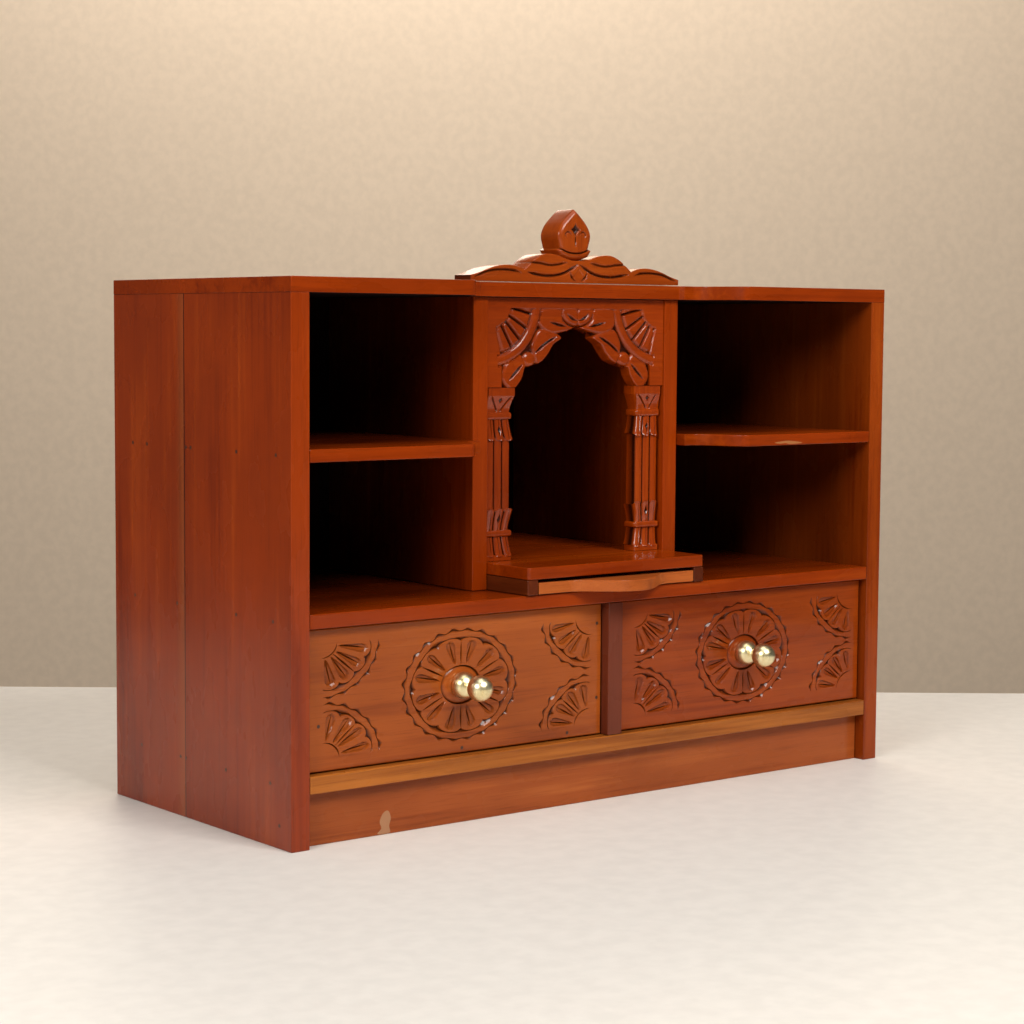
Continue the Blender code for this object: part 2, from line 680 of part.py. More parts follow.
def column(side, name):
    """A reeded column with leaf collars, lofted ring by ring; the wall side stays straight."""
    height = ARCH_Z - PLATFORM_TOP_Z - 2 * FIT
    reeds = 3
    per_reed = 5
    bm = bmesh.new()
    rings = []
    for level, half, depth, reeding in column_levels():
        wall = SHAFT_WIDTH / 2
        ring = [bm.verts.new((wall, 0, level * height))]
        steps = reeds * per_reed
        for step in range(steps + 1):
            t = step / steps
            x = wall - (wall + half) * t
            bump = abs(math.sin(math.pi * reeds * t))
            y = -COLUMN_DEPTH * depth * (1 - reeding + reeding * bump)
            ring.append(bm.verts.new((x, y, level * height)))
        ring.append(bm.verts.new((-half, 0, level * height)))
        rings.append(ring)
    for lower, upper in zip(rings, rings[1:]):
        for index, corner in enumerate(lower):
            after = (index + 1) % len(lower)
            bm.faces.new((corner, lower[after], upper[after], upper[index]))
    bm.faces.new(reversed(rings[0]))
    bm.faces.new(rings[-1])
    bm.transform(Matrix.Diagonal((side, 1, 1, 1)))
    piece = mesh_object(name, bm, WOOD, CASE, PARTS)
    centre = DIVIDER_INNER_X - COLUMN_WALL_GAP - SHAFT_WIDTH / 2
    piece.location = (side * centre, COLUMN_RECESS + COLUMN_DEPTH, PLATFORM_TOP_Z + FIT)
    return piece


def crest_top():
    """The right half of the crest's wavy top, from the middle outwards.

    The waves are in shares of the crest's half length and rise.
    """
    seat = FINIAL_FOOT_HALF_WIDTH + FIT
    high = stretched([(0.209, 0.978), (0.316, 1.0), (0.409, 0.826), (0.516, 0.446)], CREST_HALF_LENGTH, CREST_RISE)
    low = stretched(
        [(0.516, 0.446), (0.595, 0.563), (0.698, 0.580), (0.809, 0.482), (0.912, 0.313), (1.0, 0.201)],
        CREST_HALF_LENGTH,
        CREST_RISE,
    )
    rise = [(seat, CREST_DIP_HEIGHT), (2 * seat, 1.085 * CREST_DIP_HEIGHT)]
    return [(0.0, CREST_DIP_HEIGHT)] + smooth_line([*rise, *high], 3)[:-1] + smooth_line(low, 3)


def crest():
    """The wavy crest on the top board, with carved lines and a small bud."""
    outline = both_sides([*crest_top(), (CREST_HALF_LENGTH, 0.0)])
    place = (0, CREST_RECESS + CREST_THICKNESS / 2, CREST_Z)
    piece = outline_piece("crest", outline, CREST_THICKNESS, FRONT_VIEW, place, WOOD, CASE)
    shapes = (
        [(0.930, 0.134), (0.837, 0.277), (0.707, 0.357), (0.595, 0.339)],
        [(0.456, 0.625), (0.363, 0.616), (0.251, 0.571), (0.121, 0.670)],
        [(0.484, 0.304), (0.344, 0.205), (0.205, 0.259), (0.056, 0.571)],
        [(0.079, 0.366), (0.065, 0.214), (0.033, 0.089)],
    )
    lines = bmesh.new()
    for knots in shapes:
        add_line(lines, smooth_line(stretched(knots, CREST_HALF_LENGTH, CREST_RISE), 3))
    lines.transform(Matrix.Translation((0, -CREST_THICKNESS / 2, 0)))
    carve(piece, "lines", with_mirror(lines), solver_self=True)


def finial():
    """The spade-shaped finial, with a small star, a slit and a lip line."""
    half = FINIAL_HALF_WIDTH
    tall = FINIAL_HEIGHT
    knots = [(0.0, tall), (0.28 * half, 0.90 * tall), (0.72 * half, 0.70 * tall), (0.93 * half, 0.50 * tall),
             (0.84 * half, 0.30 * tall), (0.80 * half, 0.24 * tall)]
    lip = [(0.98 * half, 0.20 * tall), (0.78 * half, 0.07 * tall), (FINIAL_FOOT_HALF_WIDTH, 0.0)]
    outline = both_sides([*smooth_line(knots, 2), *lip])
    place = (0, FINIAL_RECESS + FINIAL_DEPTH / 2, FINIAL_Z)
    piece = outline_piece("finial", outline, FINIAL_DEPTH, FRONT_VIEW, place, WOOD, CASE)
    chips = bmesh.new()
    star = FRONT_VIEW @ Matrix.Translation((0, 0.60 * tall, 0))
    for quarter in range(4):
        ray = star @ Matrix.Rotation(quarter * math.pi / 2, 4, "Z")
        chip(chips, ray, 0.0050, 0.0032, CHIP_DEPTH, 3, reach=-0.0029)
    slit = FRONT_VIEW @ Matrix.Translation((0, 0.36 * tall, 0)) @ Matrix.Rotation(math.pi / 2, 4, "Z")
    chip(chips, slit, 0.0060, 0.0022, CHIP_DEPTH, 4)
    face = Matrix.Translation((0, -FINIAL_DEPTH / 2, 0))
    chips.transform(face)
    carve(piece, "chips", chips)
    lines = bmesh.new()
    add_line(lines, smooth_line([(-0.80 * half, 0.235 * tall), (0.0, 0.15 * tall), (0.80 * half, 0.235 * tall)], 4))
    lines.transform(face)
    carve(piece, "lines", lines)


def main():
    """Build every piece."""
    for side, word in ((-1, "left"), (1, "right")):
        side_panel(side, f"{word}_side_panel")
        shelf(side, f"{word}_shelf")
        column(side, f"{word}_column")
        drawer(side, f"{word}_drawer")
    case_boards()
    top_board()
    altar()
    tray()
    arch_panel()
    crest()
    finial()


clear_scene()
PARTS = collection("household_altar_cabinet")
CUTTERS = collection("carving_cutters")
WOOD = finish("varnished_wood", (0.36, 0.075, 0.014), 0.28, 0.0)
PALE_WOOD = finish("pale_varnished_wood", (0.48, 0.17, 0.035), 0.32, 0.0)
BRASS = finish("polished_brass", (0.80, 0.62, 0.30), 0.2, 1.0)
CASE = bpy.data.objects.new("case_front_edge", None)
PARTS.objects.link(CASE)
CASE.location = (0, FRONT_EDGE_Y, 0)
main()
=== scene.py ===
"""Looks of the household altar cabinet: boards, chip carving, columns, arch, crest and brass knobs.

Metres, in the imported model's own frame: +X to the right, -Y to the front, +Z up.
Drawings of carvings are in millimetres on the piece's own face.
"""

from __future__ import annotations

import logging
import math
import random
from collections.abc import Callable, Sequence
from dataclasses import dataclass, field
from enum import Enum

import bpy
import numpy as np
from mathutils import Euler, Matrix, Vector
from mathutils.geometry import delaunay_2d_cdt


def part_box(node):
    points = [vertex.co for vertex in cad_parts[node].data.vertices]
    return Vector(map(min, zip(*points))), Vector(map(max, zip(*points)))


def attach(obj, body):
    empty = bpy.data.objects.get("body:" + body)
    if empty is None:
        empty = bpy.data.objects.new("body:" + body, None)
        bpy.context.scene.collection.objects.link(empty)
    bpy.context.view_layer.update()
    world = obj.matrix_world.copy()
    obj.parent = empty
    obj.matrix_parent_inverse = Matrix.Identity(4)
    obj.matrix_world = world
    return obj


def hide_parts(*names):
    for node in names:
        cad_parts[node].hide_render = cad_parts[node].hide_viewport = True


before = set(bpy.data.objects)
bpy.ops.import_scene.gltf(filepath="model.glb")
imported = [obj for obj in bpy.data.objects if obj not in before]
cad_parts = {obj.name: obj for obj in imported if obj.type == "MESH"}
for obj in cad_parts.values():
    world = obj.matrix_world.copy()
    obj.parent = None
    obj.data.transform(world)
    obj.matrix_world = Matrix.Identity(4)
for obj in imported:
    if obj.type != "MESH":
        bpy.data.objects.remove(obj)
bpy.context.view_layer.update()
LOG = logging.getLogger("altar_cabinet")
MM = 0.001
FAR_BELOW = 99.0
Point = tuple[float, float]
Colour = tuple[float, float, float]
Socket = bpy.types.NodeSocket

# How often the varnished wood's patterns repeat in a metre, along the grain and twice across it.
STREAKS = (2.2, 26.0, 26.0)
FINE_LINES = (7.0, 240.0, 240.0)
BLOTCHES = (7.0, 11.0, 11.0)
PORES = (38.0, 1500.0, 1500.0)
SMEARS = (14.0, 30.0, 30.0)
RIPPLES = (22.0, 60.0, 60.0)


class Grain(Enum):
    """The way the wood's grain runs, as the turn that brings the pattern's own length along it."""

    ALONG_X = (0.0, 0.0, 0.0)
    ALONG_Y = (0.0, 0.0, math.pi / 2)
    ALONG_Z = (0.0, math.pi / 2, 0.0)


class Body(Enum):
    """The bodies that pieces ride on."""

    CABINET = "cabinet"
    LEFT_DRAWER = "left_drawer"
    RIGHT_DRAWER = "right_drawer"
    TRAY = "tray"


@dataclass(frozen=True)
class Stain:
    """The colours of a varnished wood, from dark streaks to bright ones, and of its cuts, dark with dark
    varnish and painted shade.
    """

    dark: Colour
    middle: Colour
    bright: Colour
    cut: Colour


HONEY_RED = Stain(
    dark=(0.185, 0.0185, 0.0005),
    middle=(0.278, 0.0325, 0.0008),
    bright=(0.375, 0.054, 0.0018),
    cut=(0.012, 0.0020, 0.0006),
)
DULL_BROWN = Stain(
    dark=(0.105, 0.0190, 0.0075),
    middle=(0.145, 0.0290, 0.0120),
    bright=(0.19, 0.042, 0.018),
    cut=(0.010, 0.002, 0.001),
)
HONEY_RUST = Stain(
    dark=(0.215, 0.0270, 0.0015),
    middle=(0.310, 0.0480, 0.0030),
    bright=(0.40, 0.075, 0.0060),
    cut=(0.018, 0.0032, 0.0010),
)
HONEY = Stain(
    dark=(0.27, 0.050, 0.0055),
    middle=(0.375, 0.080, 0.0095),
    bright=(0.46, 0.108, 0.015),
    cut=(0.026, 0.0048, 0.0014),
)
LIGHT_HONEY = Stain(
    dark=(0.21, 0.036, 0.006),
    middle=(0.335, 0.073, 0.014),
    bright=(0.44, 0.115, 0.024),
    cut=(0.030, 0.006, 0.0018),
)
# Near black red for the back panel and the top board's underside: a dark stain, made darker still as
# painted shade for the dark inside of the bays.
DEEP_RED_AND_SHADE = Stain(
    dark=(0.004, 0.0004, 0.0001),
    middle=(0.009, 0.0008, 0.0001),
    bright=(0.017, 0.0015, 0.0002),
    cut=(0.002, 0.0004, 0.0001),
)
GOLDEN = Stain(
    dark=(0.26, 0.068, 0.009),
    middle=(0.42, 0.128, 0.019),
    bright=(0.56, 0.205, 0.036),
    cut=(0.05, 0.012, 0.003),
)
SAWN_ORANGE = Stain(
    dark=(0.31, 0.064, 0.010),
    middle=(0.43, 0.100, 0.018),
    bright=(0.52, 0.145, 0.030),
    cut=(0.05, 0.012, 0.003),
)
# Brighter orange for much handled edges: rubbed stain, and a painted highlight along the arris.
WORN_AND_SHEEN_ORANGE = Stain(
    dark=(0.30, 0.045, 0.0035),
    middle=(0.42, 0.078, 0.007),
    bright=(0.55, 0.125, 0.015),
    cut=(0.05, 0.012, 0.003),
)
END_GRAIN = Stain(
    dark=(0.045, 0.0065, 0.0010),
    middle=(0.095, 0.0150, 0.0022),
    bright=(0.16, 0.029, 0.0045),
    cut=(0.010, 0.002, 0.001),
)


class NodeBench:
    """A material's node tree, with short ways to add and join nodes."""

    def __init__(self, name: str) -> None:
        """Start a material that holds only a Principled shader and its output.

        Args:
            name: The material's name.
        """
        self.material = bpy.data.materials.new(name)
        self.material.use_nodes = True
        self.tree = self.material.node_tree
        self.shader = self.tree.nodes["Principled BSDF"]

    def add(self, kind: str, **settings: object) -> bpy.types.Node:
        """Add a node and set its properties.

        Args:
            kind: The node's type.
            settings: Its properties.

        Returns:
            The node.
        """
        node = self.tree.nodes.new(kind)
        for key, value in settings.items():
            setattr(node, key, value)
        return node

    def join(self, source: Socket, target: Socket) -> None:
        """Link an output to an input."""
        self.tree.links.new(source, target)

    def mapped(self, turn: Sequence[float], shift: Sequence[float], scale: Sequence[float]) -> Socket:
        """Object coordinates turned, shifted and scaled.

        Args:
            turn: Rotation in radians.
            shift: Where the pattern's own origin goes.
            scale: Repeats per metre along each axis.

        Returns:
            The vector socket.
        """
        coordinates = self.add("ShaderNodeTexCoord")
        turned = self.add("ShaderNodeMapping")
        turned.inputs["Rotation"].default_value = turn
        turned.inputs["Location"].default_value = shift
        self.join(coordinates.outputs["Object"], turned.inputs["Vector"])
        stretched = self.add("ShaderNodeMapping")
        stretched.inputs["Scale"].default_value = scale
        self.join(turned.outputs["Vector"], stretched.inputs["Vector"])
        return stretched.outputs["Vector"]

    def noise(self, vector: Socket, scale: float, detail: float, distortion: float = 0.0) -> Socket:
        """A noise pattern's value on a vector.

        Args:
            vector: Where the pattern is read.
            scale: Its scale.
            detail: How many finer layers it has.
            distortion: How far it is warped.

        Returns:
            The value's socket.
        """
        node = self.add("ShaderNodeTexNoise")
        node.inputs["Scale"].default_value = scale
        node.inputs["Detail"].default_value = detail
        node.inputs["Distortion"].default_value = distortion
        self.join(vector, node.inputs["Vector"])
        return node.outputs["Fac"]

    def ramp(self, value: Socket, stops: Sequence[tuple[float, Colour]]) -> Socket:
        """Colours along a value.

        Args:
            value: The socket that drives the ramp.
            stops: Places from 0 to 1 with their colours.

        Returns:
            The colour socket.
        """
        node = self.add("ShaderNodeValToRGB")
        elements = node.color_ramp.elements
        while len(elements) < len(stops):
            elements.new(0.5)
        for element, (place, colour) in zip(elements, stops):
            element.position = place
            element.color = (*colour, 1.0)
        self.join(value, node.inputs["Fac"])
        return node.outputs["Color"]

    def grade(self, value: Socket, low: float, high: float, to_low: float, to_high: float) -> Socket:
        """A value mapped from one range to another, and held inside it.

        Args:
            value: The value.
            low: The first range's start.
            high: Its end.
            to_low: The second range's start.
            to_high: Its end.

        Returns:
            The mapped value's socket.
        """
        node = self.add("ShaderNodeMapRange")
        node.inputs["From Min"].default_value = low
        node.inputs["From Max"].default_value = high
        node.inputs["To Min"].default_value = to_low
        node.inputs["To Max"].default_value = to_high
        self.join(value, node.inputs["Value"])
        return node.outputs["Result"]

    def math(self, operation: str, first: Socket, second: Socket | float) -> Socket:
        """A sum on one value and another value or number.

        Args:
            operation: The kind of sum.
            first: The first value.
            second: The second value or number.

        Returns:
            The result's socket.
        """
        node = self.add("ShaderNodeMath", operation=operation)
        self.join(first, node.inputs[0])
        if isinstance(second, float):
            node.inputs[1].default_value = second
        else:
            self.join(second, node.inputs[1])
        return node.outputs["Value"]

    def blend(self, mode: str, share: Socket | float, base: Socket, over: Socket | Colour) -> Socket:
        """One colour blended over another.

        Args:
            mode: The way of blending.
            share: How much of it shows.
            base: The colour below.
            over: The colour above.

        Returns:
            The blended colour's socket.
        """
        node = self.add("ShaderNodeMix", data_type="RGBA", blend_type=mode)
        if isinstance(share, float):
            node.inputs["Factor"].default_value = share
        else:
            self.join(share, node.inputs["Factor"])
        self.join(base, node.inputs["A"])
        if isinstance(over, tuple):
            node.inputs["B"].default_value = (*over, 1.0)
        else:
            self.join(over, node.inputs["B"])
        return node.outputs["Result"]

    def bump(self, height: Socket, strength: float, distance: float) -> None:
        """Raise the surface's shading by a height, on top of any earlier bump.

        Args:
            height: The height's socket.
            strength: How strong it is.
            distance: How high, in metres.
        """
        node = self.add("ShaderNodeBump")
        node.inputs["Strength"].default_value = strength
        node.inputs["Distance"].default_value = distance
        self.join(height, node.inputs["Height"])
        normal = self.shader.inputs["Normal"]
        if normal.is_linked:
            self.join(normal.links[0].from_socket, node.inputs["Normal"])
        self.join(node.outputs["Normal"], normal)


@dataclass(frozen=True)
class VarnishedWood:
    """Glossy varnish over straight-grained hardwood.

    Painted shade: where a place along y is set, the wood darkens behind it, over a set run and out to a set
    x, standing in for the shade inside the case.
    """

    name: str
    stain: Stain
    grain: Grain
    seed: int = 0
    gloss: float = 0.27
    coat: float = 0.28
    coat_haze: float = 0.07
    # Whether its cuts are painted dark: dark varnish and painted shade.
    cuts: bool = False
    glue_line_y: float | None = None
    # Painted shade inside the case: where it starts along y, out to which x, over which run, how dark and
    # in which colour.
    painted_shade_y: float | None = None
    painted_shade_x: float = 1.0
    painted_shade_run: float = 0.06
    painted_shade_share: float = 0.62
    painted_shade_colour: Colour = (0.010, 0.0012, 0.0002)

    def material(self) -> bpy.types.Material:
        """Build the streaks, blotches, pores, glue line, painted shade inside the case, cuts darkened by
        dark varnish and painted shade, and varnish.

        Returns:
            The material.
        """
        bench = NodeBench(self.name)
        shift = (0.37 * self.seed, 0.61 * self.seed, 0.23 * self.seed)
        turn = self.grain.value
        streaks = bench.noise(bench.mapped(turn, shift, STREAKS), 1.0, 5.0, 0.7)
        fine = bench.noise(bench.mapped(turn, shift, FINE_LINES), 1.0, 3.0)
        blotches = bench.noise(bench.mapped(turn, shift, BLOTCHES), 1.0, 3.0, 0.3)
        pores = bench.noise(bench.mapped(turn, shift, PORES), 1.0, 2.0)
        mixed = bench.math("ADD", bench.math("MULTIPLY", streaks, 0.62), bench.math("MULTIPLY", fine, 0.38))
        colour = bench.ramp(mixed, (
            (0.34, self.stain.dark),
            (0.47, self.stain.middle),
            (0.54, self.stain.middle),
            (0.68, self.stain.bright),
        ))
        shade = bench.ramp(blotches, ((0.32, (0.70, 0.66, 0.62)), (0.68, (1.0, 1.0, 1.0))))
        colour = bench.blend("MULTIPLY", 0.75, colour, shade)
        pits = bench.ramp(pores, ((0.30, (0.55, 0.48, 0.42)), (0.43, (1.0, 1.0, 1.0))))
        colour = bench.blend("MULTIPLY", 0.45, colour, pits)
        if self.glue_line_y is not None:
            colour = self.add_glue_line(bench, colour)
        # Painted shade: darker and darker behind the front edge, inside the case.
        if self.painted_shade_y is not None:
            colour = self.add_painted_shade(bench, colour)
        # The cuts are darkened from the cut attribute: dark varnish and painted shade.
        if self.cuts:
            cut = bench.add("ShaderNodeAttribute", attribute_name="cut")
            dirt_and_shade = bench.grade(cut.outputs["Fac"], 0.05, 0.90, 0.0, 0.95)
            colour = bench.blend("MIX", dirt_and_shade, colour, self.stain.cut)
        bench.join(colour, bench.shader.inputs["Base Color"])
        smears = bench.noise(bench.mapped(turn, shift, SMEARS), 1.0, 3.0)
        rough = bench.grade(smears, 0.35, 0.7, self.gloss - 0.05, self.gloss + 0.11)
        bench.join(rough, bench.shader.inputs["Roughness"])
        bench.shader.inputs["Specular IOR Level"].default_value = 0.10
        bench.shader.inputs["Coat Weight"].default_value = self.coat
        bench.shader.inputs["Coat Roughness"].default_value = self.coat_haze
        bench.shader.inputs["Coat IOR"].default_value = 1.45
        bench.bump(pores, 0.10, 0.0002)
        bench.bump(fine, 0.10, 0.0004)
        ripples = bench.noise(bench.mapped(turn, shift, RIPPLES), 1.0, 2.0)
        bench.bump(ripples, 0.16, 0.0012)
        return bench.material

    def add_painted_shade(self, bench: NodeBench, colour: Socket) -> Socket:
        """Paint shade onto the inside of the case, darker and darker behind the front edge.

        Args:
            bench: The material's nodes.
            colour: The wood's colour so far.

        Returns:
            The colour with the painted shade.
        """
        coordinates = bench.add("ShaderNodeTexCoord")
        parts = bench.add("ShaderNodeSeparateXYZ")
        bench.join(coordinates.outputs["Object"], parts.inputs["Vector"])
        full_y = self.painted_shade_y + self.painted_shade_run
        depth = bench.grade(parts.outputs["Y"], self.painted_shade_y, full_y, 0.0, self.painted_shade_share)
        outwards = bench.math("ABSOLUTE", parts.outputs["X"], 0.0)
        within = bench.grade(outwards, self.painted_shade_x, self.painted_shade_x + 0.0005, 1.0, 0.0)
        return bench.blend("MIX", bench.math("MULTIPLY", depth, within), colour, self.painted_shade_colour)

    def add_glue_line(self, bench: NodeBench, colour: Socket) -> Socket:
        """Draw the joint of two boards: a thin dark line with a paler band behind it.

        Args:
            bench: The material's nodes.
            colour: The wood's colour so far.

        Returns:
            The colour with the joint.
        """
        coordinates = bench.add("ShaderNodeTexCoord")
        parts = bench.add("ShaderNodeSeparateXYZ")
        bench.join(coordinates.outputs["Object"], parts.inputs["Vector"])
        behind = bench.math("SUBTRACT", parts.outputs["Y"], self.glue_line_y)
        rise = bench.grade(behind, 0.0, 0.0015, 0.0, 1.0)
        fall = bench.grade(behind, 0.002, 0.013, 1.0, 0.0)
        band = bench.math("MULTIPLY", rise, fall)
        colour = bench.blend("SCREEN", bench.math("MULTIPLY", band, 0.07), colour, (0.75, 0.42, 0.14))
        away = bench.math("ABSOLUTE", behind, 0.0)
        line = bench.grade(away, 0.0003, 0.0009, 0.85, 0.0)
        return bench.blend("MIX", line, colour, self.stain.cut)


@dataclass(frozen=True)
class PolishedBrass:
    """Polished brass, lightly brushed round its axis and a little tarnished in places."""

    name: str = "polished_brass_look"

    def material(self) -> bpy.types.Material:
        """Build the material.

        Returns:
            The material.
        """
        bench = NodeBench(self.name)
        tarnish = bench.noise(bench.mapped((0, 0, 0), (0, 0, 0), (120.0, 120.0, 120.0)), 1.0, 4.0)
        colour = bench.ramp(tarnish, (
            (0.30, (0.80, 0.65, 0.33)),
            (0.60, (0.92, 0.81, 0.50)),
            (0.80, (0.96, 0.88, 0.62)),
        ))
        bench.join(colour, bench.shader.inputs["Base Color"])
        bench.shader.inputs["Metallic"].default_value = 1.0
        brushed = bench.noise(bench.mapped((0, 0, 0), (0, 0, 0), (140.0, 2600.0, 140.0)), 1.0, 2.0)
        bench.join(bench.grade(brushed, 0.3, 0.7, 0.26, 0.38), bench.shader.inputs["Roughness"])
        bench.bump(brushed, 0.05, 0.0001)
        return bench.material


@dataclass(frozen=True)
class PlainPaint:
    """A plain matt colour with a faint mottle, for floor, backdrop, nail fillings and pale patches."""

    name: str
    colour: Colour
    roughness: float

    def material(self) -> bpy.types.Material:
        """Build the material.

        Returns:
            The material.
        """
        bench = NodeBench(self.name)
        mottle = bench.noise(bench.mapped((0, 0, 0), (0, 0, 0), (60.0, 60.0, 60.0)), 1.0, 3.0)
        pale = tuple(min(1.0, part * 1.03) for part in self.colour)
        deep = tuple(part * 0.97 for part in self.colour)
        bench.join(bench.ramp(mottle, ((0.35, deep), (0.65, pale))), bench.shader.inputs["Base Color"])
        bench.shader.inputs["Roughness"].default_value = self.roughness
        return bench.material


def select_only(piece: bpy.types.Object) -> None:
    """Make one object the only selected and active one.

    Args:
        piece: The object.
    """
    bpy.ops.object.select_all(action="DESELECT")
    piece.select_set(True)
    bpy.context.view_layer.objects.active = piece


def apply_modifiers(piece: bpy.types.Object) -> None:
    """Apply every modifier of a piece.

    Args:
        piece: The piece.
    """
    select_only(piece)
    for modifier in list(piece.modifiers):
        bpy.ops.object.modifier_apply(modifier=modifier.name)


def settle(piece: bpy.types.Object) -> None:
    """Put a piece's place, turn and scale into its mesh."""
    select_only(piece)
    bpy.ops.object.transform_apply(location=True, rotation=True, scale=True)


def new_object(
    name: str, verts: Sequence[Sequence[float]], faces: Sequence[Sequence[int]]
) -> bpy.types.Object:
    """An object from worked-out vertices and faces.

    Args:
        name: Its name.
        verts: The vertices in metres.
        faces: The faces, as vertex numbers.

    Returns:
        The object, linked to the scene.
    """
    mesh = bpy.data.meshes.new(name)
    mesh.from_pydata([tuple(vert) for vert in verts], [], [tuple(face) for face in faces])
    mesh.update()
    piece = bpy.data.objects.new(name, mesh)
    bpy.context.scene.collection.objects.link(piece)
    return piece


def dress(
    piece: bpy.types.Object, body: Body, slot: str, nodes: Sequence[str], *materials: bpy.types.Material
) -> None:
    """Give a finished piece its materials and body, and hide the nodes it stands for.

    Args:
        piece: The finished piece, at the origin.
        body: The body it rides on.
        slot: The record's material slot; not used.
        nodes: The nodes that it replaces.
        materials: Its materials, in slot order.
    """
    piece.data.materials.clear()
    for material in materials:
        piece.data.materials.append(material)
    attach(piece, body.value)
    if nodes:
        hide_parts(*nodes)
    LOG.info("%s rides on %s with %d faces", piece.name, body.value, len(piece.data.polygons))


def add_arris(piece: bpy.types.Object, width: float, segments: int = 3) -> None:
    """Round a board's edges and give them the second material, the edges' own colour; on the brighter edges
    it is rubbed-through stain and painted highlight at once.

    Args:
        piece: The board.
        width: The rounding's width.
        segments: Its steps.
    """
    select_only(piece)
    bpy.ops.object.shade_smooth_by_angle(angle=math.radians(35))
    bevel = piece.modifiers.new("arris", "BEVEL")
    bevel.width = width
    bevel.segments = segments
    bevel.limit_method = "ANGLE"
    bevel.angle_limit = math.radians(40)
    bevel.material = 1
    bevel.harden_normals = True
    apply_modifiers(piece)


@dataclass
class Board:
    """A straight board in its node's place; the shifts move its lowest and highest corners."""

    node: str
    wood: VarnishedWood
    body: Body = Body.CABINET
    slot: str = "varnished_wood"
    arris: float = 0.0008
    low_shift: tuple[float, float, float] = (0.0, 0.0, 0.0)
    high_shift: tuple[float, float, float] = (0.0, 0.0, 0.0)

    def build(self, edge: bpy.types.Material) -> bpy.types.Object:
        """Model the board from a cube at its size and place, and round its edges.

        Args:
            edge: The material of the edges; where it is brighter, rubbed stain and painted highlight.

        Returns:
            The finished board.
        """
        low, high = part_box(self.node)
        low += Vector(self.low_shift)
        high += Vector(self.high_shift)
        bpy.ops.object.select_all(action="DESELECT")
        bpy.ops.mesh.primitive_cube_add(size=1.0, location=(low + high) / 2, scale=high - low)
        piece = bpy.context.active_object
        piece.name = f"{self.node}_look"
        piece.data.materials.append(edge)
        piece.data.materials.append(edge)
        settle(piece)
        add_arris(piece, self.arris)
        dress(piece, self.body, self.slot, [self.node], self.wood.material(), edge)
        return piece


@dataclass
class ShapedBoard(Board):
    """A board with a curved outline in plan, drawn as points from the frame's front edge."""

    outline: list[Point] = field(default_factory=list)

    def build(self, edge: bpy.types.Material) -> bpy.types.Object:
        """Fill the outline, extrude it to the board's thickness and round its edges.

        Args:
            edge: The material of the edges; where it is brighter, rubbed stain and painted highlight.

        Returns:
            The finished board.
        """
        low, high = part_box(self.node)
        flat = [(x, y, low.z) for x, y in self.outline]
        piece = new_object(f"{self.node}_look", flat, [tuple(range(len(flat)))])
        select_only(piece)
        bpy.ops.object.mode_set(mode="EDIT")
        bpy.ops.mesh.select_all(action="SELECT")
        bpy.ops.mesh.extrude_region_move(TRANSFORM_OT_translate={"value": (0, 0, high.z - low.z)})
        bpy.ops.mesh.select_all(action="SELECT")
        bpy.ops.mesh.normals_make_consistent(inside=False)
        bpy.ops.object.mode_set(mode="OBJECT")
        piece.data.materials.append(edge)
        piece.data.materials.append(edge)
        add_arris(piece, self.arris)
        dress(piece, self.body, self.slot, [self.node], self.wood.material(), edge)
        return piece


def arc(centre: Point, radius: float, start: float, end: float, steps: int) -> list[Point]:
    """Points along an arc.

    Args:
        centre: Its centre.
        radius: Its radius.
        start: Its first angle in degrees.
        end: Its last angle.
        steps: How many steps it has.

    Returns:
        The points.
    """
    turns = [math.radians(start + (end - start) * step / steps) for step in range(steps + 1)]
    return [
        (centre[0] + radius * math.cos(turn), centre[1] + radius * math.sin(turn))
        for turn in turns
    ]


def smooth(knots: Sequence[Point], steps: int, closed: bool = False) -> list[Point]:
    """Points along a soft curve through the knots.

    Args:
        knots: The points that it passes.
        steps: Steps between two knots.
        closed: Whether it runs back to its start.

    Returns:
        The points.
    """
    if closed:
        ends = [knots[-1], *knots, knots[0], knots[1]]
    else:
        ends = [knots[0], *knots, knots[-1]]
    points = []
    for a, b, c, d in zip(ends, ends[1:], ends[2:], ends[3:]):
        for step in range(steps):
            t = step / steps
            points.append(tuple(
                0.5 * (
                    2 * q + (r - p) * t + (2 * p - 5 * q + 4 * r - s) * t**2
                    + (3 * q - p - 3 * r + s) * t**3
                )
                for p, q, r, s in zip(a, b, c, d)
            ))
    return points if closed else [*points, knots[-1]]


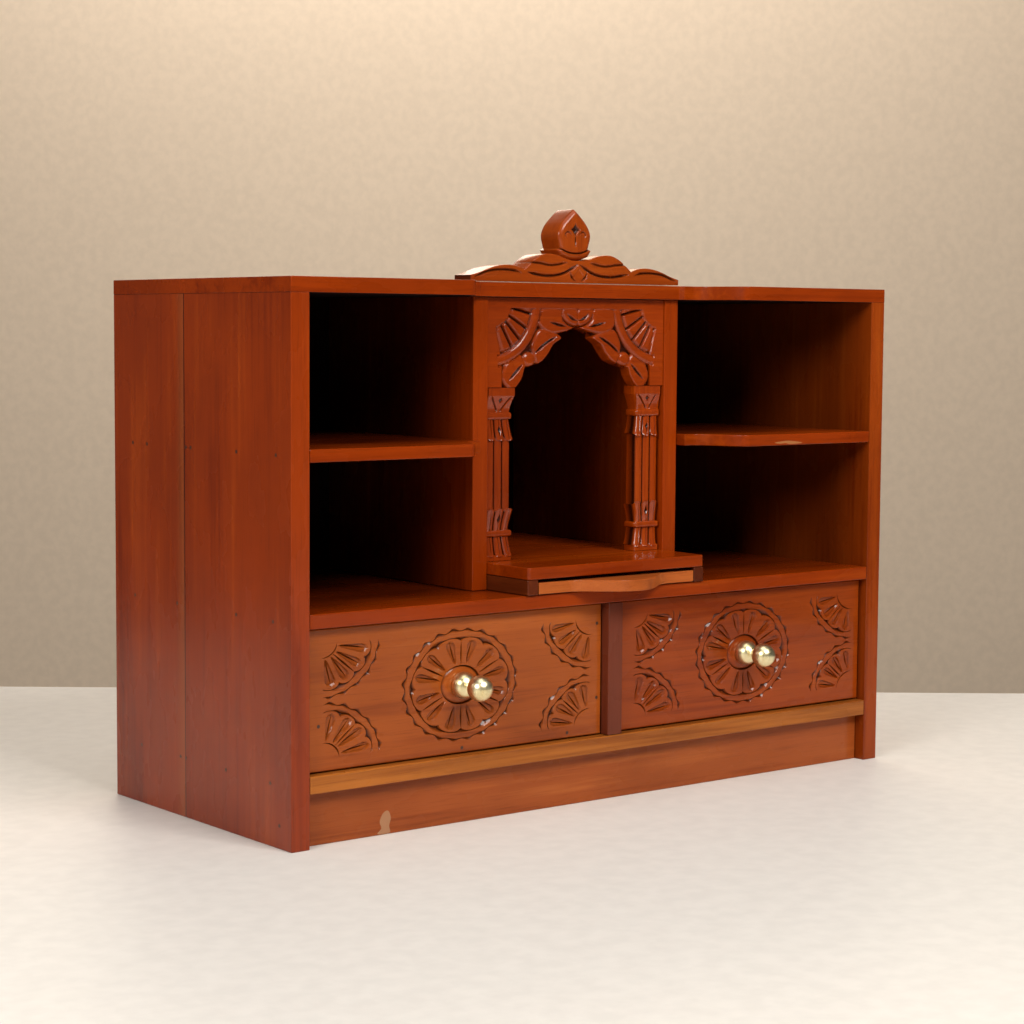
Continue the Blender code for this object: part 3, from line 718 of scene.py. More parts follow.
class Carving:
    """Knife cuts on a flat face in millimetres: points with depths, and edges that keep them crisp."""

    def __init__(self, seed: int) -> None:
        """Start an uncut face, with its own run of small differences between cuts.

        Args:
            seed: Starts the run of differences.
        """
        self.points: list[tuple[float, float, float, float]] = []
        self.edges: list[tuple[int, int]] = []
        self.hand = random.Random(seed)

    def line(
        self, points: Sequence[Point], depths: float | Sequence[float], closed: bool, dirt_and_shade: float = 0.0
    ) -> None:
        """Add a run of points at a depth, or at a depth each.

        Args:
            points: Places on the face.
            depths: How deep they lie.
            closed: Whether the last point joins the first.
            dirt_and_shade: How dark it is painted there, from 0 to 1: dark varnish in the cut, and painted
                shade.
        """
        start = len(self.points)
        each = [depths] * len(points) if isinstance(depths, float) else list(depths)
        self.points += [(u, v, depth, dirt_and_shade) for (u, v), depth in zip(points, each)]
        self.edges += [(start + i, start + i + 1) for i in range(len(points) - 1)]
        if closed:
            self.edges.append((start + len(points) - 1, start))

    def vee(self, path: Sequence[Point], width: float, depth: float, ground: float = 0.0) -> None:
        """Add a V cut along a path, running out to points at its ends.

        Args:
            path: Its middle line.
            width: Its width.
            depth: How deep its bottom lies.
            ground: How deep its edges lie.
        """
        count = len(path)
        left, right, bottom = [], [], []
        for i, here in enumerate(path):
            run = (Vector(path[min(i + 1, count - 1)]) - Vector(path[max(i - 1, 0)])).normalized()
            side = Vector((-run.y, run.x))
            swell = min(1.0, 0.3 + 2.0 * min(i, count - 1 - i) / (count - 1))
            left.append(tuple(Vector(here) + side * width / 2 * swell))
            right.append(tuple(Vector(here) - side * width / 2 * swell))
            bottom.append(ground + (depth - ground) * swell)
        # The cut's edges are painted a little dark and its bottom darkest: dark varnish and painted shade.
        self.line([*left, *reversed(right)], ground, True, 0.12)
        self.line(list(path), bottom, False, 1.0)

    def ribbon(
        self, middle: list[Point], inner: list[Point], outer: list[Point], depths: list[float], closed: bool
    ) -> None:
        """Add a running cut, with its middle line at depths between its two edges.

        Args:
            middle: The middle line.
            inner: The inner edge.
            outer: The outer edge.
            depths: The middle line's depths.
            closed: Whether it runs all the way round.
        """
        # The middle line is painted darkest and the edges a little: dark varnish and painted shade.
        if closed:
            self.line(inner, 0.0, True, 0.1)
            self.line(outer, 0.0, True, 0.1)
            self.line(middle, depths, True, 1.0)
        else:
            self.line([*outer, *reversed(inner)], 0.0, True, 0.1)
            self.line(middle[1:-1], depths[1:-1], False, 1.0)


@dataclass(frozen=True)
class Wheel:
    """A carved wheel, or a quarter of one: its centre on the face and its radii in millimetres."""

    across: float
    up: float
    boss: float
    radius: float = 41.0
    start: float = 30.0
    sectors: int = 2
    sector: float = 45.0
    rims: int = 6
    oval: float = 1.27

    @property
    def whole(self) -> bool:
        """Whether it goes all the way round."""
        return self.sectors * self.sector >= 360

    def at(self, share: float, turn: float) -> Point:
        """The place at a share of the radius and a turn in radians."""
        reach = self.radius * share
        return (self.across + self.oval * reach * math.cos(turn), self.up + reach * math.sin(turn))


@dataclass
class ChipCarvedFront:
    """A drawer front with an oval rosette in the middle and a quarter fan in each corner."""

    node: str
    body: Body
    wood: VarnishedWood
    seed: int
    fans: tuple[Wheel, ...]
    rosette: Wheel = Wheel(0.0, 0.0, 14.5, 43.0, 30.0, 6, 60.0, 24)
    thin: float = 0.0090
    arris: float = 1.0

    def petal(self, cut: Carving, wheel: Wheel, turn: float) -> None:
        """Cut one teardrop gouge, wide outside and narrow inside, with a knife line along it.

        Args:
            cut: The face's cuts.
            wheel: The wheel that is cut.
            turn: Where it points, in radians.
        """
        first = 1.05 * wheel.boss / wheel.radius + 0.014
        length = (0.805 + cut.hand.uniform(-0.012, 0.008)) - first
        wide = 1 + cut.hand.uniform(-0.10, 0.08)
        turn += cut.hand.uniform(-0.014, 0.014)
        lean = cut.hand.choice((-1, 1)) * 0.010
        shape = [
            (0.0, 0.0), (0.10, 0.027), (0.35, 0.050), (0.60, 0.072),
            (0.80, 0.086), (0.93, 0.064), (1.0, 0.0),
        ]
        outline = [*shape, *[(along, -across) for along, across in reversed(shape[1:-1])]]

        def placed(scale: float) -> list[Point]:
            """The petal's outline drawn in towards its middle.

            Args:
                scale: How much of it is left.

            Returns:
                The outline.
            """
            spots = []
            for along, across in outline:
                share = first + length * (0.6 + (along - 0.6) * scale)
                spots.append(wheel.at(share, turn + across * wide * scale / share))
            return spots

        # The gouge is painted darker inwards: dark varnish and painted shade.
        cut.line(placed(1.0), 0.0, True, 0.12)
        cut.line(placed(0.80), 1.3, True, 0.42)
        knife = [
            wheel.at(first + length * along, turn + lean / (first + length * along))
            for along in (0.10, 0.28, 0.48, 0.68, 0.88)
        ]
        cut.vee(knife, 1.5, 3.1, 1.5)

    def running_cut(
        self, cut: Carving, wheel: Wheel, steps: int, shape: Callable[[float], tuple[float, ...]]
    ) -> None:
        """Cut a ring, or an arc that runs out at both ends.

        Args:
            cut: The face's cuts.
            wheel: The wheel that it belongs to.
            steps: How many points it has.
            shape: Gives the middle, inner and outer radius as shares, and the depth, at a turn.
        """
        span = math.radians(wheel.sectors * wheel.sector)
        middle, inner, outer, depths = [], [], [], []
        for index in range(steps if wheel.whole else steps + 1):
            turn = span * index / steps
            line, low, high, depth = shape(turn)
            ease = 1.0 if wheel.whole else min(1.0, 0.1 + min(index, steps - index) / 5)
            here = math.radians(wheel.start) + turn
            middle.append(wheel.at(line, here))
            inner.append(wheel.at(line + (low - line) * ease, here))
            outer.append(wheel.at(line + (high - line) * ease, here))
            depths.append(depth * ease)
        cut.ribbon(middle, inner, outer, depths, wheel.whole)

    def scallop(self, cut: Carving, wheel: Wheel) -> None:
        """Cut the wavy line round the petals, opening into chips where its lobes meet.

        Args:
            cut: The face's cuts.
            wheel: The wheel that is cut.
        """
        lobe_turn = math.radians(wheel.sector) / 2
        wobble = [cut.hand.uniform(0.85, 1.12) for _ in range(2 * wheel.sectors + 1)]

        def shape(turn: float) -> tuple[float, float, float, float]:
            """The line's radii and depth: a small tip at each groove, a long chip between grooves.

            Args:
                turn: The turn from the start.

            Returns:
                The middle, inner and outer radius as shares, and the depth.
            """
            lobe = turn / lobe_turn
            nearest = round(lobe)
            away = abs(lobe - nearest) * lobe_turn
            line = 0.768 + 0.076 * abs(math.sin(math.pi * lobe)) ** 0.62
            outer = line + self.thin
            size = wobble[nearest % len(wobble)]
            if nearest % 2 and away < 0.21 * size:
                outer = max(outer, 0.886 - 0.036 * (away / (0.21 * size)) ** 2)
            elif away < 0.13 * size:
                outer = max(outer, 0.848)
            open_by = outer - line - self.thin
            return line + 0.30 * open_by, line - self.thin, outer, min(2.0, 0.9 + 14.0 * open_by)

        self.running_cut(cut, wheel, 24 * wheel.sectors, shape)

    def rim(self, cut: Carving, wheel: Wheel) -> None:
        """Cut the outermost ring: a thin line that opens into a chip at every step.

        Args:
            cut: The face's cuts.
            wheel: The wheel that is cut.
        """
        chip_turn = math.radians(wheel.sectors * wheel.sector) / wheel.rims
        wobble = [cut.hand.uniform(0.7, 1.15) for _ in range(wheel.rims + 1)]

        def shape(turn: float) -> tuple[float, float, float, float]:
            """The rim's radii and depth: chips whose points lie outside and a little behind.

            Args:
                turn: The turn from the start.

            Returns:
                The middle, inner and outer radius as shares, and the depth.
            """
            place = turn / chip_turn
            part = place % 1
            size = wobble[int(place) % len(wobble)]
            swell = size * max(0.0, 1 - abs(part - 0.55) / 0.40)
            behind = size * max(0.0, 1 - abs(part - 0.40) / 0.34)
            line = 0.956 - 0.011 * math.cos(2 * math.pi * part)
            inner = line - self.thin - 0.026 * behind
            return line + 0.007 * swell, inner, line + self.thin + 0.042 * swell, 0.7 + 0.7 * swell

        self.running_cut(cut, wheel, 10 * wheel.rims, shape)

    def boss(self, cut: Carving, wheel: Wheel) -> None:
        """Cut the boss: a domed knob of wood inside a deep ring, or a plain arc for a fan.

        Args:
            cut: The face's cuts.
            wheel: The wheel that is cut.
        """
        share = wheel.boss / wheel.radius
        if not wheel.whole:
            self.running_cut(cut, wheel, 16, lambda turn: (share, share - 0.012, share + 0.016, 1.3))
            return
        # Each ring's scale, depth and darkness; the deep ring is painted darkest: dark varnish and painted
        # shade.
        rings = (
            (1.03, 0.0, 0.1), (1.0, 2.3, 1.0), (0.95, 1.3, 0.35),
            (0.86, 0.6, 0.0), (0.74, 0.22, 0.0), (0.6, 0.03, 0.0),
        )
        for scale, depth, dirt_and_shade in rings:
            circle = [wheel.at(share * scale, math.tau * step / 48) for step in range(48)]
            cut.line(circle, depth, True, dirt_and_shade)

    def wheel(self, cut: Carving, wheel: Wheel) -> None:
        """Cut a whole wheel or a fan: grooves, petals, scalloped line, rim and boss.

        Args:
            cut: The face's cuts.
            wheel: The wheel that is cut.
        """
        first = math.radians(wheel.start)
        sector = math.radians(wheel.sector)
        start = 1.05 * wheel.boss / wheel.radius + 0.014
        for index in range(wheel.sectors + 1):
            if wheel.whole and index == wheel.sectors or not wheel.whole and index in (0, wheel.sectors):
                continue
            shares = [start + (0.740 - start) * step / 4 for step in range(5)]
            path = [wheel.at(share, first + index * sector) for share in shares]
            cut.vee(path, 0.042 * wheel.radius, 2.0)
        for index in range(wheel.sectors):
            for side in (-1, 1):
                self.petal(cut, wheel, first + (index + 0.5 + side / 4) * sector)
        self.scallop(cut, wheel)
        self.rim(cut, wheel)
        self.boss(cut, wheel)

    def build(self) -> bpy.types.Object:
        """Carve the face, wrap the rest of the board round it and dress it.

        Returns:
            The finished front.
        """
        low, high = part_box(self.node)
        half = ((high.x - low.x) / 2 / MM - self.arris, (high.z - low.z) / 2 / MM - self.arris)
        cut = Carving(self.seed)
        corners = [(-half[0], -half[1]), (half[0], -half[1]), (half[0], half[1]), (-half[0], half[1])]
        cut.line(corners, 0.0, True)
        for wheel in (self.rosette, *self.fans):
            self.wheel(cut, wheel)
        piece = carved_face(f"{self.node}_look", cut, low, high, self.arris * MM)
        dress(piece, self.body, "varnished_wood", [self.node], self.wood.material())
        return piece


def carved_face(name: str, cut: Carving, low: Vector, high: Vector, arris: float) -> bpy.types.Object:
    """A board whose front face carries a carving.

    Args:
        name: The piece's name.
        cut: The carving in millimetres from the face's middle, its first four points the corners.
        low: The board's lowest corner.
        high: The board's highest corner.
        arris: The radius of the front edges.

    Returns:
        The closed board.
    """
    flat = [Vector((u, v)) for u, v, _, _ in cut.points]
    spots, _, triangles, sources, _, _ = delaunay_2d_cdt(flat, cut.edges, [], 0, 1e-4)
    known = [cut.points[origin[0]][2:] if origin else None for origin in sources]
    neighbours: dict[int, set[int]] = {}
    for triangle in triangles:
        for index in triangle:
            neighbours.setdefault(index, set()).update(triangle)
    values = []
    for index, value in enumerate(known):
        near = [known[other] for other in neighbours[index] if known[other]] if value is None else [value]
        values.append(tuple(sum(part) / len(near) for part in zip(*near)) if near else (0.0, 0.0))
    middle = (low + high) / 2
    verts = [
        (middle.x + u * MM, low.y + value[0] * MM, middle.z + v * MM)
        for (u, v), value in zip(spots, values)
    ]
    faces = [tuple(triangle) for triangle in triangles]
    ring = [next(place for place, origin in enumerate(sources) if index in origin) for index in range(4)]
    for step in range(1, 5):
        turn = math.pi / 2 * step / 4
        out = arris * (math.sin(turn) - math.sin(turn - math.pi / 8))
        ring = wrap(verts, faces, ring, middle, out, low.y + arris * (1 - math.cos(turn)))
    ring = wrap(verts, faces, ring, middle, 0.0, high.y)
    faces.append(tuple(ring))
    piece = new_object(name, verts, faces)
    # The darkness of the cuts, kept on the points: dark varnish and painted shade.
    attribute = piece.data.attributes.new("cut", "FLOAT", "POINT")
    dirt_and_shade = [value[1] for value in values] + [0.0] * (len(verts) - len(values))
    attribute.data.foreach_set("value", dirt_and_shade)
    select_only(piece)
    bpy.ops.object.mode_set(mode="EDIT")
    bpy.ops.mesh.select_all(action="SELECT")
    bpy.ops.mesh.normals_make_consistent(inside=False)
    bpy.ops.object.mode_set(mode="OBJECT")
    bpy.ops.object.shade_smooth_by_angle(angle=math.radians(28))
    for polygon in piece.data.polygons:
        on_face = all(abs(verts[index][1] - low.y) < 1e-7 for index in polygon.vertices)
        polygon.use_smooth = polygon.use_smooth and not on_face
    return piece


def wrap(
    verts: list[tuple[float, float, float]], faces: list[tuple[int, ...]], ring: list[int],
    middle: Vector, out: float, depth: float,
) -> list[int]:
    """Add the next ring of four corners round a board, further out and at a depth, with its faces.

    Args:
        verts: The vertices so far.
        faces: The faces so far.
        ring: The last ring's four corners.
        middle: The board's middle.
        out: How far out the ring moves.
        depth: Where it lies along y.

    Returns:
        The new ring's corners.
    """
    start = len(verts)
    for index in ring:
        x, _, z = verts[index]
        verts.append((x + math.copysign(out, x - middle.x), depth, z + math.copysign(out, z - middle.z)))
    following = list(range(start, start + 4))
    for side in range(4):
        after = (side + 1) % 4
        faces.append((ring[side], ring[after], following[after], following[side]))
    return following


@dataclass
class ReliefPiece:
    """A carved piece made as a fine net of points over its drawing, with walls to its back."""

    name: str
    front_y: float
    back_y: float

    def build(
        self, across: np.ndarray, up: np.ndarray, depth: np.ndarray, origin: Vector
    ) -> bpy.types.Object:
        """Turn the net into a closed piece.

        Args:
            across: Millimetres to the right of the origin, one for each point of the net.
            up: Millimetres above the origin.
            depth: Millimetres behind the front.
            origin: The place that the drawing is measured from.

        Returns:
            The closed piece, with a cut attribute for the dark in its grooves.
        """
        rows, columns = across.shape
        front = np.stack([
            origin.x + across.ravel() * MM,
            self.front_y + depth.ravel() * MM,
            origin.z + up.ravel() * MM,
        ], axis=1)
        back = front.copy()
        back[:, 1] = self.back_y
        index = np.arange(rows * columns).reshape(rows, columns)
        corners = [index[:-1, :-1], index[:-1, 1:], index[1:, 1:], index[1:, :-1]]
        quads = np.stack(corners, axis=-1).reshape(-1, 4)
        rim = [*index[0, :-1], *index[:-1, -1], *index[-1, :0:-1], *index[:0:-1, 0]]
        count = len(front)
        back_of = {int(point): count + place for place, point in enumerate(rim)}
        verts = [*front.tolist(), *back[rim].tolist()]
        faces = quads.tolist()
        for first, second in zip(rim, [*rim[1:], rim[0]]):
            faces.append([int(first), back_of[int(first)], back_of[int(second)], int(second)])
        faces += self.back_strip(index, back_of)
        piece = new_object(self.name, verts, faces)
        select_only(piece)
        bpy.ops.object.mode_set(mode="EDIT")
        bpy.ops.mesh.select_all(action="SELECT")
        bpy.ops.mesh.remove_doubles(threshold=1e-6)
        bpy.ops.mesh.normals_make_consistent(inside=False)
        bpy.ops.object.mode_set(mode="OBJECT")
        bpy.ops.object.shade_smooth_by_angle(angle=math.radians(50))
        return piece

    def back_strip(self, index: np.ndarray, back_of: dict[int, int]) -> list[list[int]]:
        """Faces of the flat back, which join the net's first row to its last.

        Args:
            index: The net's point numbers.
            back_of: The back point behind each rim point.

        Returns:
            The faces.
        """
        first = [back_of[int(point)] for point in index[0]]
        last = [back_of[int(point)] for point in index[-1]]
        left = [back_of[int(point)] for point in index[1:-1, 0]]
        right = [back_of[int(point)] for point in index[1:-1, -1]]
        strips = [[first[i], last[i], last[i + 1], first[i + 1]] for i in range(1, len(first) - 2)]
        strips.append([first[0], *left, last[0], last[1], first[1]])
        strips.append([first[-1], first[-2], last[-2], last[-1], *reversed(right)])
        return strips


def away_from_line(
    across: np.ndarray, up: np.ndarray, path: Sequence[Point], closed: bool = False
) -> np.ndarray:
    """Each point's distance to a path.

    Args:
        across: The points' places to the right.
        up: Their heights.
        path: The path.
        closed: Whether it runs back to its start.

    Returns:
        The distances.
    """
    points = [*path, path[0]] if closed else list(path)
    best = np.full(across.shape, 1e9)
    for (u0, v0), (u1, v1) in zip(points, points[1:]):
        run = max((u1 - u0) ** 2 + (v1 - v0) ** 2, 1e-12)
        t = np.clip(((across - u0) * (u1 - u0) + (up - v0) * (v1 - v0)) / run, 0, 1)
        best = np.minimum(best, np.hypot(across - u0 - t * (u1 - u0), up - v0 - t * (v1 - v0)))
    return best


def inside(across: np.ndarray, up: np.ndarray, outline: Sequence[Point]) -> np.ndarray:
    """Whether each point lies inside a closed outline.

    Args:
        across: The points' places to the right.
        up: Their heights.
        outline: The outline.

    Returns:
        True for the points inside.
    """
    within = np.zeros(across.shape, bool)
    points = [*outline, outline[0]]
    for (u0, v0), (u1, v1) in zip(points, points[1:]):
        if abs(v1 - v0) < 1e-9:
            continue
        crossing = ((v0 > up) != (v1 > up)) & (across < (u1 - u0) * (up - v0) / (v1 - v0) + u0)
        within ^= crossing
    return within


def pillow(
    across: np.ndarray, up: np.ndarray, outline: Sequence[Point], edge_depth: float, roll: float
) -> np.ndarray:
    """Depth of a shape that stands up from its ground with a rolled edge, and far below outside it.

    Args:
        across: The points' places to the right.
        up: Their heights.
        outline: The shape.
        edge_depth: How deep its edge lies.
        roll: How wide the rolled edge is.

    Returns:
        The depths.
    """
    away = away_from_line(across, up, outline, closed=True)
    share = np.clip(away / roll, 0, 1)
    rolled = edge_depth * (1 - np.sqrt(1 - (1 - share) ** 2))
    return np.where(inside(across, up, outline), rolled, FAR_BELOW)


def groove(
    across: np.ndarray, up: np.ndarray, path: Sequence[Point], width: float, depth: float
) -> np.ndarray:
    """How deep a V cut along a path goes at each point, thinning out at its ends.

    Args:
        across: The points' places to the right.
        up: Their heights.
        path: The cut's middle line.
        width: Its width.
        depth: Its depth.

    Returns:
        The depths.
    """
    away = away_from_line(across, up, path)
    ends = np.minimum(
        np.hypot(across - path[0][0], up - path[0][1]),
        np.hypot(across - path[-1][0], up - path[-1][1]),
    )
    taper = np.clip(0.35 + ends / (3 * width), 0, 1)
    return depth * taper * np.clip(1 - away / (width / 2 * np.maximum(taper, 0.2)), 0, 1)


def rounded(from_edge: np.ndarray, radius: float) -> np.ndarray:
    """How far a rounded edge falls back at each distance from it."""
    return radius * (1 - np.sqrt(1 - np.clip(1 - from_edge / radius, 0, 1) ** 2))


def mark_cuts(piece: bpy.types.Object, front_y: float, shade: Callable[[np.ndarray], np.ndarray]) -> None:
    """Store on each point how dark a cut is painted there: dark varnish and painted shade.

    Args:
        piece: The finished piece.
        front_y: Where its front face lies.
        shade: Gives the darkness, 0 to 1, for an array of places.
    """
    count = len(piece.data.vertices)
    places = np.zeros(count * 3, np.float32)
    piece.data.vertices.foreach_get("co", places)
    places = places.reshape(-1, 3)
    dark = shade(places) * (places[:, 1] < front_y + 0.006)
    attribute = piece.data.attributes.new("cut", "FLOAT", "POINT")
    attribute.data.foreach_set("value", dark.astype(np.float32))


@dataclass
class ArchPanel:
    """The carved arch: apex and haunch leaves, berries, lower leaves, ribbon and fans."""

    wood: VarnishedWood
    node: str = "arch_panel"
    edge_depth: float = 3.3
    ground_depth: float = 3.7
    arris: float = 1.3
    steps_along: int = 300
    steps_out: int = 110

    def opening(self, half: float, top: float) -> list[Point]:
        """The right half of the opening's edge, apex first, from the panel's shares.

        Args:
            half: Half the panel's width.
            top: The panel's height.

        Returns:
            The edge's points.
        """
        shares = [
            (0.0, 0.695), (0.077, 0.649), (0.132, 0.621), (0.189, 0.603), (0.175, 0.553),
            (0.263, 0.481), (0.318, 0.381), (0.378, 0.295), (0.461, 0.251), (0.537, 0.227),
            (0.592, 0.208), (0.614, 0.115), (0.647, 0.050), (0.685, 0.0),
        ]
        return [(u * half, v * top) for u, v in shares]

    def relief(self, across: np.ndarray, up: np.ndarray) -> tuple[np.ndarray, np.ndarray]:
        """How deep the carving goes at each point, and how dark its cuts are painted: dark varnish and
        painted shade.

        Args:
            across: Millimetres from the middle, on the right half.
            up: Millimetres above the panel's lower edge.

        Returns:
            The depth and the darkness.
        """
        ribbon = (88.0, 66.6)
        radius = np.hypot(across - ribbon[0], up - ribbon[1])
        turn = np.degrees(np.arctan2(ribbon[1] - up, ribbon[0] - across))
        level = 61.8
        leaves = (
            [(0.0, 46.0), (13.0, 42.8), (28.0, 41.6), (39.6, 48.2), (38.2, 61.2), (16.8, 61.8),
             (14.9, 53.8), (9.0, 48.9)],
            [(0.0, 48.2), (9.0, 49.2), (14.6, 54.0), (16.3, 61.5), (0.0, 61.5)],
            [(46.6, 30.2), (44.8, 38.2), (40.0, 45.0), (33.0, 45.6), (24.4, 43.4), (15.6, 39.6),
             (14.0, 36.0), (24.3, 32.0), (29.9, 24.0), (41.3, 17.0)],
            [(76.6, 5.5), (74.6, 16.0), (67.4, 23.5), (57.8, 26.0), (52.0, 16.0), (54.0, 6.0),
             (59.0, -2.0), (68.0, -3.0)],
        )
        depth = np.full(across.shape, self.ground_depth)
        for knots, roll in zip(leaves, (3.2, 3.0, 3.4, 3.4)):
            leaf = pillow(across, up, smooth(knots, 4, closed=True), self.edge_depth, roll)
            depth = np.minimum(depth, leaf)
        berry = np.hypot((across - 49.3) / 7.3, (up - 21.5) / 6.3)
        dome = 3.4 * (1 - np.sqrt(np.clip(1 - berry**2, 0, 1))) - 0.4
        depth = np.where(berry < 1, np.minimum(depth, dome), depth)
        ribs = (
            [(28.4, 50.8), (19.0, 48.6), (12.0, 47.4)],
            [(11.0, 57.5), (5.5, 53.6), (0.6, 52.2)],
            [(43.6, 26.5), (34.0, 33.5), (22.5, 39.4)],
            [(69.5, 5.5), (63.0, 11.5), (56.6, 17.5)],
        )
        veins = np.zeros(across.shape)
        for path in ribs:
            veins = np.maximum(veins, groove(across, up, smooth(path, 4), 2.6, 2.0))
        ribbon_band = (radius > 42.3) & (radius < 51.0) & (turn > -4) & (turn < 82)
        band_share = np.clip((radius - 46.6) / 4.6, -1, 1)
        band_depth = 2.8 * (1 - np.sqrt(np.clip(1 - band_share**2, 0, 1))) + 0.1
        depth = np.where(ribbon_band, np.minimum(band_depth, self.ground_depth), depth)
        fan = (radius > 20.5) & (radius <= 42.3) & (turn > 3) & (turn < 77)
        from_cut = np.min([np.abs(turn - angle) for angle in (13.0, 30.0, 45.0, 59.0)], axis=0)
        from_cut = np.radians(from_cut) * radius
        tongue = 2.4 * np.clip(1 - from_cut / 1.5, 0, 1) + 0.8 * np.clip(1 - from_cut / 3.4, 0, 1) ** 2
        ends = 1.0 * np.clip((24.0 - radius) / 2.2, 0, 1)
        ends = ends + 2.0 * np.clip((radius - 39.4) / 2.6, 0, 1) ** 1.5
        ends = ends + 1.4 * np.clip((turn - 70.0) / 6.0, 0, 1)
        start = np.clip((radius - 20.5) / 0.8, 0, 1) * np.clip((77.0 - turn) / 1.5, 0, 1)
        depth = np.where(fan, (0.5 + np.maximum(tongue, ends)) * start, depth)
        carved = ribbon_band | fan | self.ground(across, up, radius, turn)
        rise = np.clip((level - up) / 0.9, 0, 1)
        depth = np.where(carved, depth * rise, 0.0)
        depth = np.maximum(depth, np.where(veins > 0, depth + veins, 0))
        # Painted shade: the deeper the carving, the darker it is painted; veins and fan lines are painted
        # dark too.
        dark = np.clip((depth - 1.3) / 1.7, 0, 1)
        fan_lines = np.where(fan, np.clip(1.2 - from_cut / 1.1, 0, 1), 0) * start * rise
        return depth, np.maximum.reduce([dark * 0.85, np.clip(veins / 1.3, 0, 1), fan_lines])

    def ground(
        self, across: np.ndarray, up: np.ndarray, radius: np.ndarray, turn: np.ndarray
    ) -> np.ndarray:
        """Where the leaves lie: inside the ribbon's outer edge, below the top band and off the legs.

        Args:
            across: Millimetres from the middle.
            up: Millimetres above the lower edge.
            radius: Distance from the ribbon's centre.
            turn: Degrees round that centre.

        Returns:
            True where the leaves lie.
        """
        leg = np.where(up < 26.0, 77.0, 99.0)
        below_ribbon = (radius > 51.0) | (turn < -4)
        return below_ribbon & (up < 62.5) & (across < leg) & ~((across > 77.0) & (up < 30))

    def build(self) -> bpy.types.Object:
        """Carve the panel on a net that runs from the opening's edge to the panel's outer edge.

        Returns:
            The finished panel.
        """
        low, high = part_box(self.node)
        half = (high.x - low.x) / 2 / MM
        top = (high.z - low.z) / MM
        edge = self.opening(half, top)
        outer = [(0.0, top), (half, top), (half, 0.0)]
        inner = resample(edge, self.steps_along // 2)
        rim = resample(outer, self.steps_along // 2, bend=0.62)
        shares = np.linspace(0, 1, self.steps_out) ** 1.15
        right_u = np.array([[a[0] + (b[0] - a[0]) * s for a, b in zip(inner, rim)] for s in shares])
        right_v = np.array([[a[1] + (b[1] - a[1]) * s for a, b in zip(inner, rim)] for s in shares])
        across = np.concatenate([-right_u[:, :0:-1], right_u], axis=1)
        up = np.concatenate([right_v[:, :0:-1], right_v], axis=1)
        depth, _ = self.relief(np.abs(across), up)
        from_edge = away_from_line(np.abs(across), up, edge)
        depth = np.maximum(depth, 0) + rounded(from_edge, self.arris)
        piece = ReliefPiece(f"{self.node}_look", low.y, high.y).build(
            across, up, np.clip(depth, 0, 6.5), Vector(((low.x + high.x) / 2, 0, low.z))
        )
        centre = (low.x + high.x) / 2
        mark_cuts(
            piece, low.y,
            lambda p: self.relief(np.abs(p[:, 0] - centre) / MM, (p[:, 2] - low.z) / MM)[1],
        )
        dress(piece, Body.CABINET, "varnished_wood", [self.node], self.wood.material())
        return piece


def resample(path: Sequence[Point], count: int, bend: float | None = None) -> list[Point]:
    """Evenly spaced points along a path.

    Args:
        path: The path.
        count: How many points.
        bend: The first leg's share of them, if it is set.

    Returns:
        The points.
    """
    lengths = [math.dist(a, b) for a, b in zip(path, path[1:])]
    total = sum(lengths)
    marks = [sum(lengths[:i]) / total for i in range(len(lengths))] + [1.0]
    if bend is not None:
        first = marks[1]
        steps = [t / bend * first if t < bend else first + (t - bend) / (1 - bend) * (1 - first)
                 for t in np.linspace(0, 1, count)]
    else:
        steps = list(np.linspace(0, 1, count))
    us = np.interp(steps, marks, [p[0] for p in path])
    vs = np.interp(steps, marks, [p[1] for p in path])
    return list(zip(us.tolist(), vs.tolist()))


